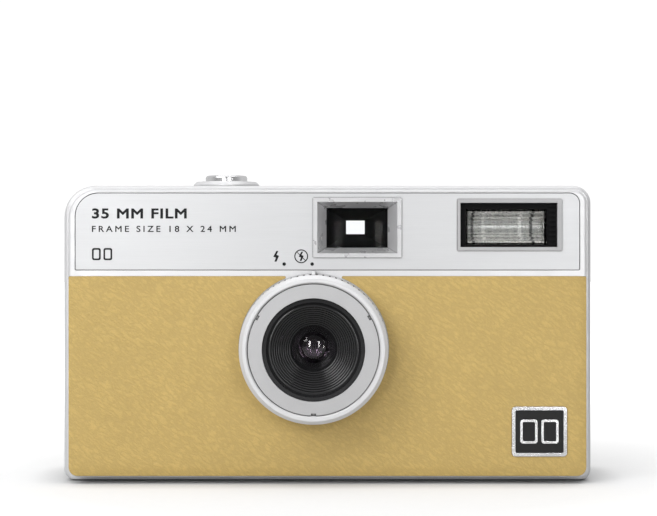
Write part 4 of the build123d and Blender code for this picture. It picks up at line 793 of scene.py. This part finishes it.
class CAMERA_OT_plate_signs(bpy.types.Operator):
    """Prints the two-frame sign and the signs for flash on and flash off"""
    bl_idname = "half_frame.plate_signs"
    bl_label = "Printed signs"
    FRAME_SIGN_DROP = 13.75 * MM
    ROW = 2.75 * MM
    DOT_ROW = 1.15 * MM
    ON_LEFT = 7.75 * MM
    ON_DOT_LEFT = 6.1 * MM
    OFF_LEFT = 2.6 * MM
    OFF_DOT_LEFT = 0.35 * MM
    DOT_RADIUS = 0.36 * MM
    RING_RADIUS = 1.42 * MM
    RING_LINE = 0.22 * MM
    ON_BOLT = 2.2 * MM
    OFF_BOLT = 1.9 * MM

    def execute(self, context):
        marks = context.scene.printed_marks
        ink = printing_ink(tuple(context.scene.camera_finishes.ink))
        icon = two_frames(0, 0, marks.icon, 0.14 * marks.icon)
        left = PLATE_LOW.x + marks.margin
        self.put("print_frame_sign", icon, left, PLATE_HIGH.z - self.FRAME_SIGN_DROP, ink)
        row = PLATE_LOW.z + self.ROW
        dots = PLATE_LOW.z + self.DOT_ROW
        on = LENS_CENTRE.x - self.ON_LEFT
        off = LENS_CENTRE.x - self.OFF_LEFT
        dot = circle(0, 0, self.DOT_RADIUS, 24)
        self.put("print_flash_on", [bolt(0, 0, self.ON_BOLT)], on, row, ink)
        self.put("print_flash_on_dot", [dot], LENS_CENTRE.x - self.ON_DOT_LEFT, dots, ink)
        ring = [circle(0, 0, self.RING_RADIUS), circle(0, 0, self.RING_RADIUS - self.RING_LINE)]
        self.put("print_flash_off_ring", ring, off, row, ink)
        self.put("print_flash_off_bolt", [bolt(0, 0, self.OFF_BOLT)], off, row, ink)
        self.put("print_flash_off_bar", [self.slash(1.3 * MM, 0.07 * MM)], off, row, ink)
        self.put("print_flash_off_dot", [dot], LENS_CENTRE.x - self.OFF_DOT_LEFT, dots, ink)
        return {"FINISHED"}

    @staticmethod
    def put(name, outlines, x, z, ink):
        depth = bpy.context.scene.printed_marks.ink_depth
        mesh = curve_mesh(outline_curve(name, outlines, depth))
        stand_up(mesh, x, PLATE_LOW.y, z)
        new_piece(name, mesh, ink, ROOT)

    @staticmethod
    def slash(reach, half):
        """Bar from the upper left to the lower right."""
        across = Vector((1, -1)).normalized() * reach
        side = Vector((1, 1)).normalized() * half
        return [tuple(-across - side), tuple(across - side), tuple(across + side), tuple(-across + side)]


class CAMERA_OT_badge_sign(bpy.types.Operator):
    """Sets a plain two-frame sign into the badge"""
    bl_idname = "half_frame.badge_sign"
    bl_label = "Badge sign"
    HEIGHT_SHARE = 0.56
    LINE_SHARE = 0.10

    def execute(self, context):
        metal = bright_metal("badge_sign_metal", (0.86, 0.86, 0.87), 0.2, 0.34)
        height = (INLAY_HIGH.z - INLAY_LOW.z) * self.HEIGHT_SHARE
        line = height * self.LINE_SHARE
        outlines = two_frames(0, 0, height, line)
        across = max(x for outline in outlines for x, _ in outline)
        mesh = curve_mesh(outline_curve("badge_sign", outlines, 0.03 * MM))
        middle = (INLAY_LOW + INLAY_HIGH) / 2
        stand_up(mesh, middle.x - across / 2, INLAY_LOW.y, middle.z - height / 2)
        new_piece("badge_sign", mesh, metal, ROOT)
        return {"FINISHED"}


class CAMERA_OT_counter_numbers(bpy.types.Operator):
    """Prints the frame numbers round the counter's dial"""
    bl_idname = "half_frame.counter_numbers"
    bl_label = "Counter numbers"
    COUNT = 18
    EVERY = 4
    NUMBER_HEIGHT = 1.5 * MM
    NUMBER_RADIUS = 7.1 * MM

    def execute(self, context):
        ink = printing_ink(tuple(context.scene.camera_finishes.ink))
        depth = context.scene.printed_marks.ink_depth
        centre = (DIAL_LOW + DIAL_HIGH) / 2
        work = bmesh.new()
        for index in range(self.COUNT):
            number = fitted_text(str(self.EVERY * index), self.NUMBER_HEIGHT, None, depth)
            wide = max(point.co.x for point in number.vertices)
            turn = Matrix.Rotation(2 * pi * index / self.COUNT, 4, "Z")
            out = Matrix.Translation((-wide / 2, -self.NUMBER_RADIUS, 0))
            place = Matrix.Translation((centre.x, centre.y, DIAL_HIGH.z))
            number.transform(place @ turn @ out)
            work.from_mesh(number)
            bpy.data.meshes.remove(number)
        mesh = bpy.data.meshes.new("counter_numbers")
        work.to_mesh(mesh)
        work.free()
        weld(mesh)
        new_piece("counter_numbers", mesh, ink, "frame_counter")
        return {"FINISHED"}


# ---------------------------------------------------------------- studio

class CAMERA_OT_studio(bpy.types.Operator):
    """Sets the floor, the surround, the lights and the viewpoint"""
    bl_idname = "half_frame.studio"
    bl_label = "Studio"

    def execute(self, context):
        studio = context.scene.camera_studio
        self.floor()
        self.surround(context.scene, studio.surround)
        target = Vector((0, 0, 0.03))
        self.soft_light("top_softbox", (0, -0.12, 0.75), target, 0.8, 0.7, 2.1)
        self.soft_light("front_softbox", (-0.50, -0.60, 0.50), target, 0.5, 0.5, 3.7)
        self.soft_light("left_strip", (-0.115, -0.46, 0.10), target, 0.045, 0.16, 0.37)
        self.soft_light("right_strip", (0.125, -0.46, 0.10), target, 0.045, 0.16, 0.30)
        self.soft_light("low_right_strip", (0.20, -0.34, -0.005), target, 0.03, 0.12, 0.12)
        self.viewpoint(context.scene, studio)
        return {"FINISHED"}

    @staticmethod
    def floor():
        bpy.ops.mesh.primitive_circle_add(vertices=96, radius=3.0, fill_type="NGON",
                                          location=(0, 0, -0.02 * MM))
        ground = bpy.context.object
        ground.name = "studio_floor"
        paper = Finish("white_paper", Emission_Color=(1, 1, 1, 1), Specular_IOR_Level=0.0)
        grain = paper.speckle(2 * MM, detail=3.0)
        paper.colour(paper.blend(grain, (0.52, 0.52, 0.52), (0.55, 0.55, 0.55)))
        paper.rough(paper.span(grain, 0.55, 0.7))
        # painted light: the floor glows for camera rays only, weaker near the camera and darkened by
        # painted contact shade from ambient occlusion
        away = paper.add("ShaderNodeVectorMath", Vector=paper.place)
        away.operation = "LENGTH"
        glow = paper.span(away.outputs["Value"], 0.40, 1.05, 0.06, 0.24)
        painted_contact_shade = paper.add("ShaderNodeAmbientOcclusion", Distance=12 * MM).outputs["AO"]
        seen = paper.nodes.new("ShaderNodeLightPath").outputs["Is Camera Ray"]
        painted_floor_light = paper.maths("MULTIPLY", glow, paper.span(painted_contact_shade, 0.0, 1.0, 0.35, 0.9))
        strength = paper.maths("MULTIPLY", painted_floor_light, seen)
        paper.feed(paper.shader.inputs["Emission Strength"], strength)
        one_sided = paper.nodes.new("ShaderNodeMixShader")
        under = paper.nodes.new("ShaderNodeNewGeometry").outputs["Backfacing"]
        clear = paper.nodes.new("ShaderNodeBsdfTransparent")
        paper.links.new(under, one_sided.inputs[0])
        paper.links.new(paper.shader.outputs[0], one_sided.inputs[1])
        paper.links.new(clear.outputs[0], one_sided.inputs[2])
        paper.links.new(one_sided.outputs[0], paper.nodes["Material Output"].inputs["Surface"])
        ground.data.materials.append(paper.material)

    @staticmethod
    def surround(scene, strength):
        """White world: even to the eye, and dimmer behind the viewpoint for what it lights."""
        world = bpy.data.worlds.new("studio_surround")
        world.use_nodes = True
        scene.world = world
        nodes = world.node_tree.nodes
        links = world.node_tree.links
        lit = nodes["Background"]
        way = nodes.new("ShaderNodeTexCoord")
        parts = nodes.new("ShaderNodeSeparateXYZ")
        links.new(way.outputs["Generated"], parts.inputs["Vector"])
        share = nodes.new("ShaderNodeMapRange")
        share.inputs["From Min"].default_value = -0.9
        share.inputs["From Max"].default_value = 0.1
        share.inputs["To Min"].default_value = 0.30 * strength
        share.inputs["To Max"].default_value = strength
        links.new(parts.outputs["Y"], share.inputs["Value"])
        links.new(share.outputs["Result"], lit.inputs["Strength"])
        lit.inputs["Color"].default_value = (1, 1, 1, 1)
        seen = nodes.new("ShaderNodeBackground")
        seen.inputs["Color"].default_value = (1, 1, 1, 1)
        seen.inputs["Strength"].default_value = 1.05
        ray = nodes.new("ShaderNodeLightPath")
        either = nodes.new("ShaderNodeMath")
        either.operation = "MAXIMUM"
        links.new(ray.outputs["Is Camera Ray"], either.inputs[0])
        links.new(ray.outputs["Is Transmission Ray"], either.inputs[1])
        choose = nodes.new("ShaderNodeMixShader")
        links.new(either.outputs[0], choose.inputs[0])
        links.new(lit.outputs[0], choose.inputs[1])
        links.new(seen.outputs[0], choose.inputs[2])
        links.new(choose.outputs[0], nodes["World Output"].inputs["Surface"])

    @staticmethod
    def soft_light(name, place, target, wide, high, power):
        light = bpy.data.lights.new(name, "AREA")
        light.shape = "RECTANGLE"
        light.size = wide
        light.size_y = high
        light.energy = power
        lamp = bpy.data.objects.new(name, light)
        bpy.context.scene.collection.objects.link(lamp)
        lamp.location = place
        lamp.rotation_euler = (target - Vector(place)).to_track_quat("-Z", "Y").to_euler()
        lamp.visible_camera = False

    @staticmethod
    def viewpoint(scene, studio):
        data = bpy.data.cameras.new("viewpoint")
        data.lens = studio.lens
        data.sensor_width = 36.0
        data.clip_start = 0.01
        view = bpy.data.objects.new("viewpoint", data)
        scene.collection.objects.link(view)
        view.location = (0.22 * MM, -studio.distance, studio.height)
        view.rotation_euler = (pi / 2, 0, 0)
        scene.camera = view
        scene.view_settings.view_transform = "Standard"


OPERATORS = (CAMERA_OT_cad_finishes, CAMERA_OT_leatherette, CAMERA_OT_lens_ribs, CAMERA_OT_plate_words,
             CAMERA_OT_plate_signs, CAMERA_OT_badge_sign, CAMERA_OT_counter_numbers, CAMERA_OT_studio)


class CAMERA_PT_half_frame(bpy.types.Panel):
    """Lists the settings and the steps that make the camera"""
    bl_idname = "CAMERA_PT_half_frame"
    bl_label = "Half Frame Camera"
    bl_space_type = "VIEW_3D"
    bl_region_type = "UI"
    bl_category = "Half Frame Camera"

    def draw(self, context):
        for name, kind in SETTINGS.items():
            box = self.layout.box()
            box.label(text=kind.__doc__)
            for setting in kind.__annotations__:
                box.prop(getattr(context.scene, name), setting)
        for operator in OPERATORS:
            self.layout.operator(operator.bl_idname)


def register():
    for kind in (*SETTINGS.values(), *OPERATORS, CAMERA_PT_half_frame):
        bpy.utils.register_class(kind)
    for name, kind in SETTINGS.items():
        setattr(bpy.types.Scene, name, bpy.props.PointerProperty(type=kind))


def unregister():
    for name in SETTINGS:
        delattr(bpy.types.Scene, name)
    for kind in (CAMERA_PT_half_frame, *reversed(OPERATORS), *reversed(SETTINGS.values())):
        bpy.utils.unregister_class(kind)


def main():
    register()
    for operator in OPERATORS:
        family, step = operator.bl_idname.split(".")
        getattr(getattr(bpy.ops, family), step)()


if __name__ == "__main__":
    main()
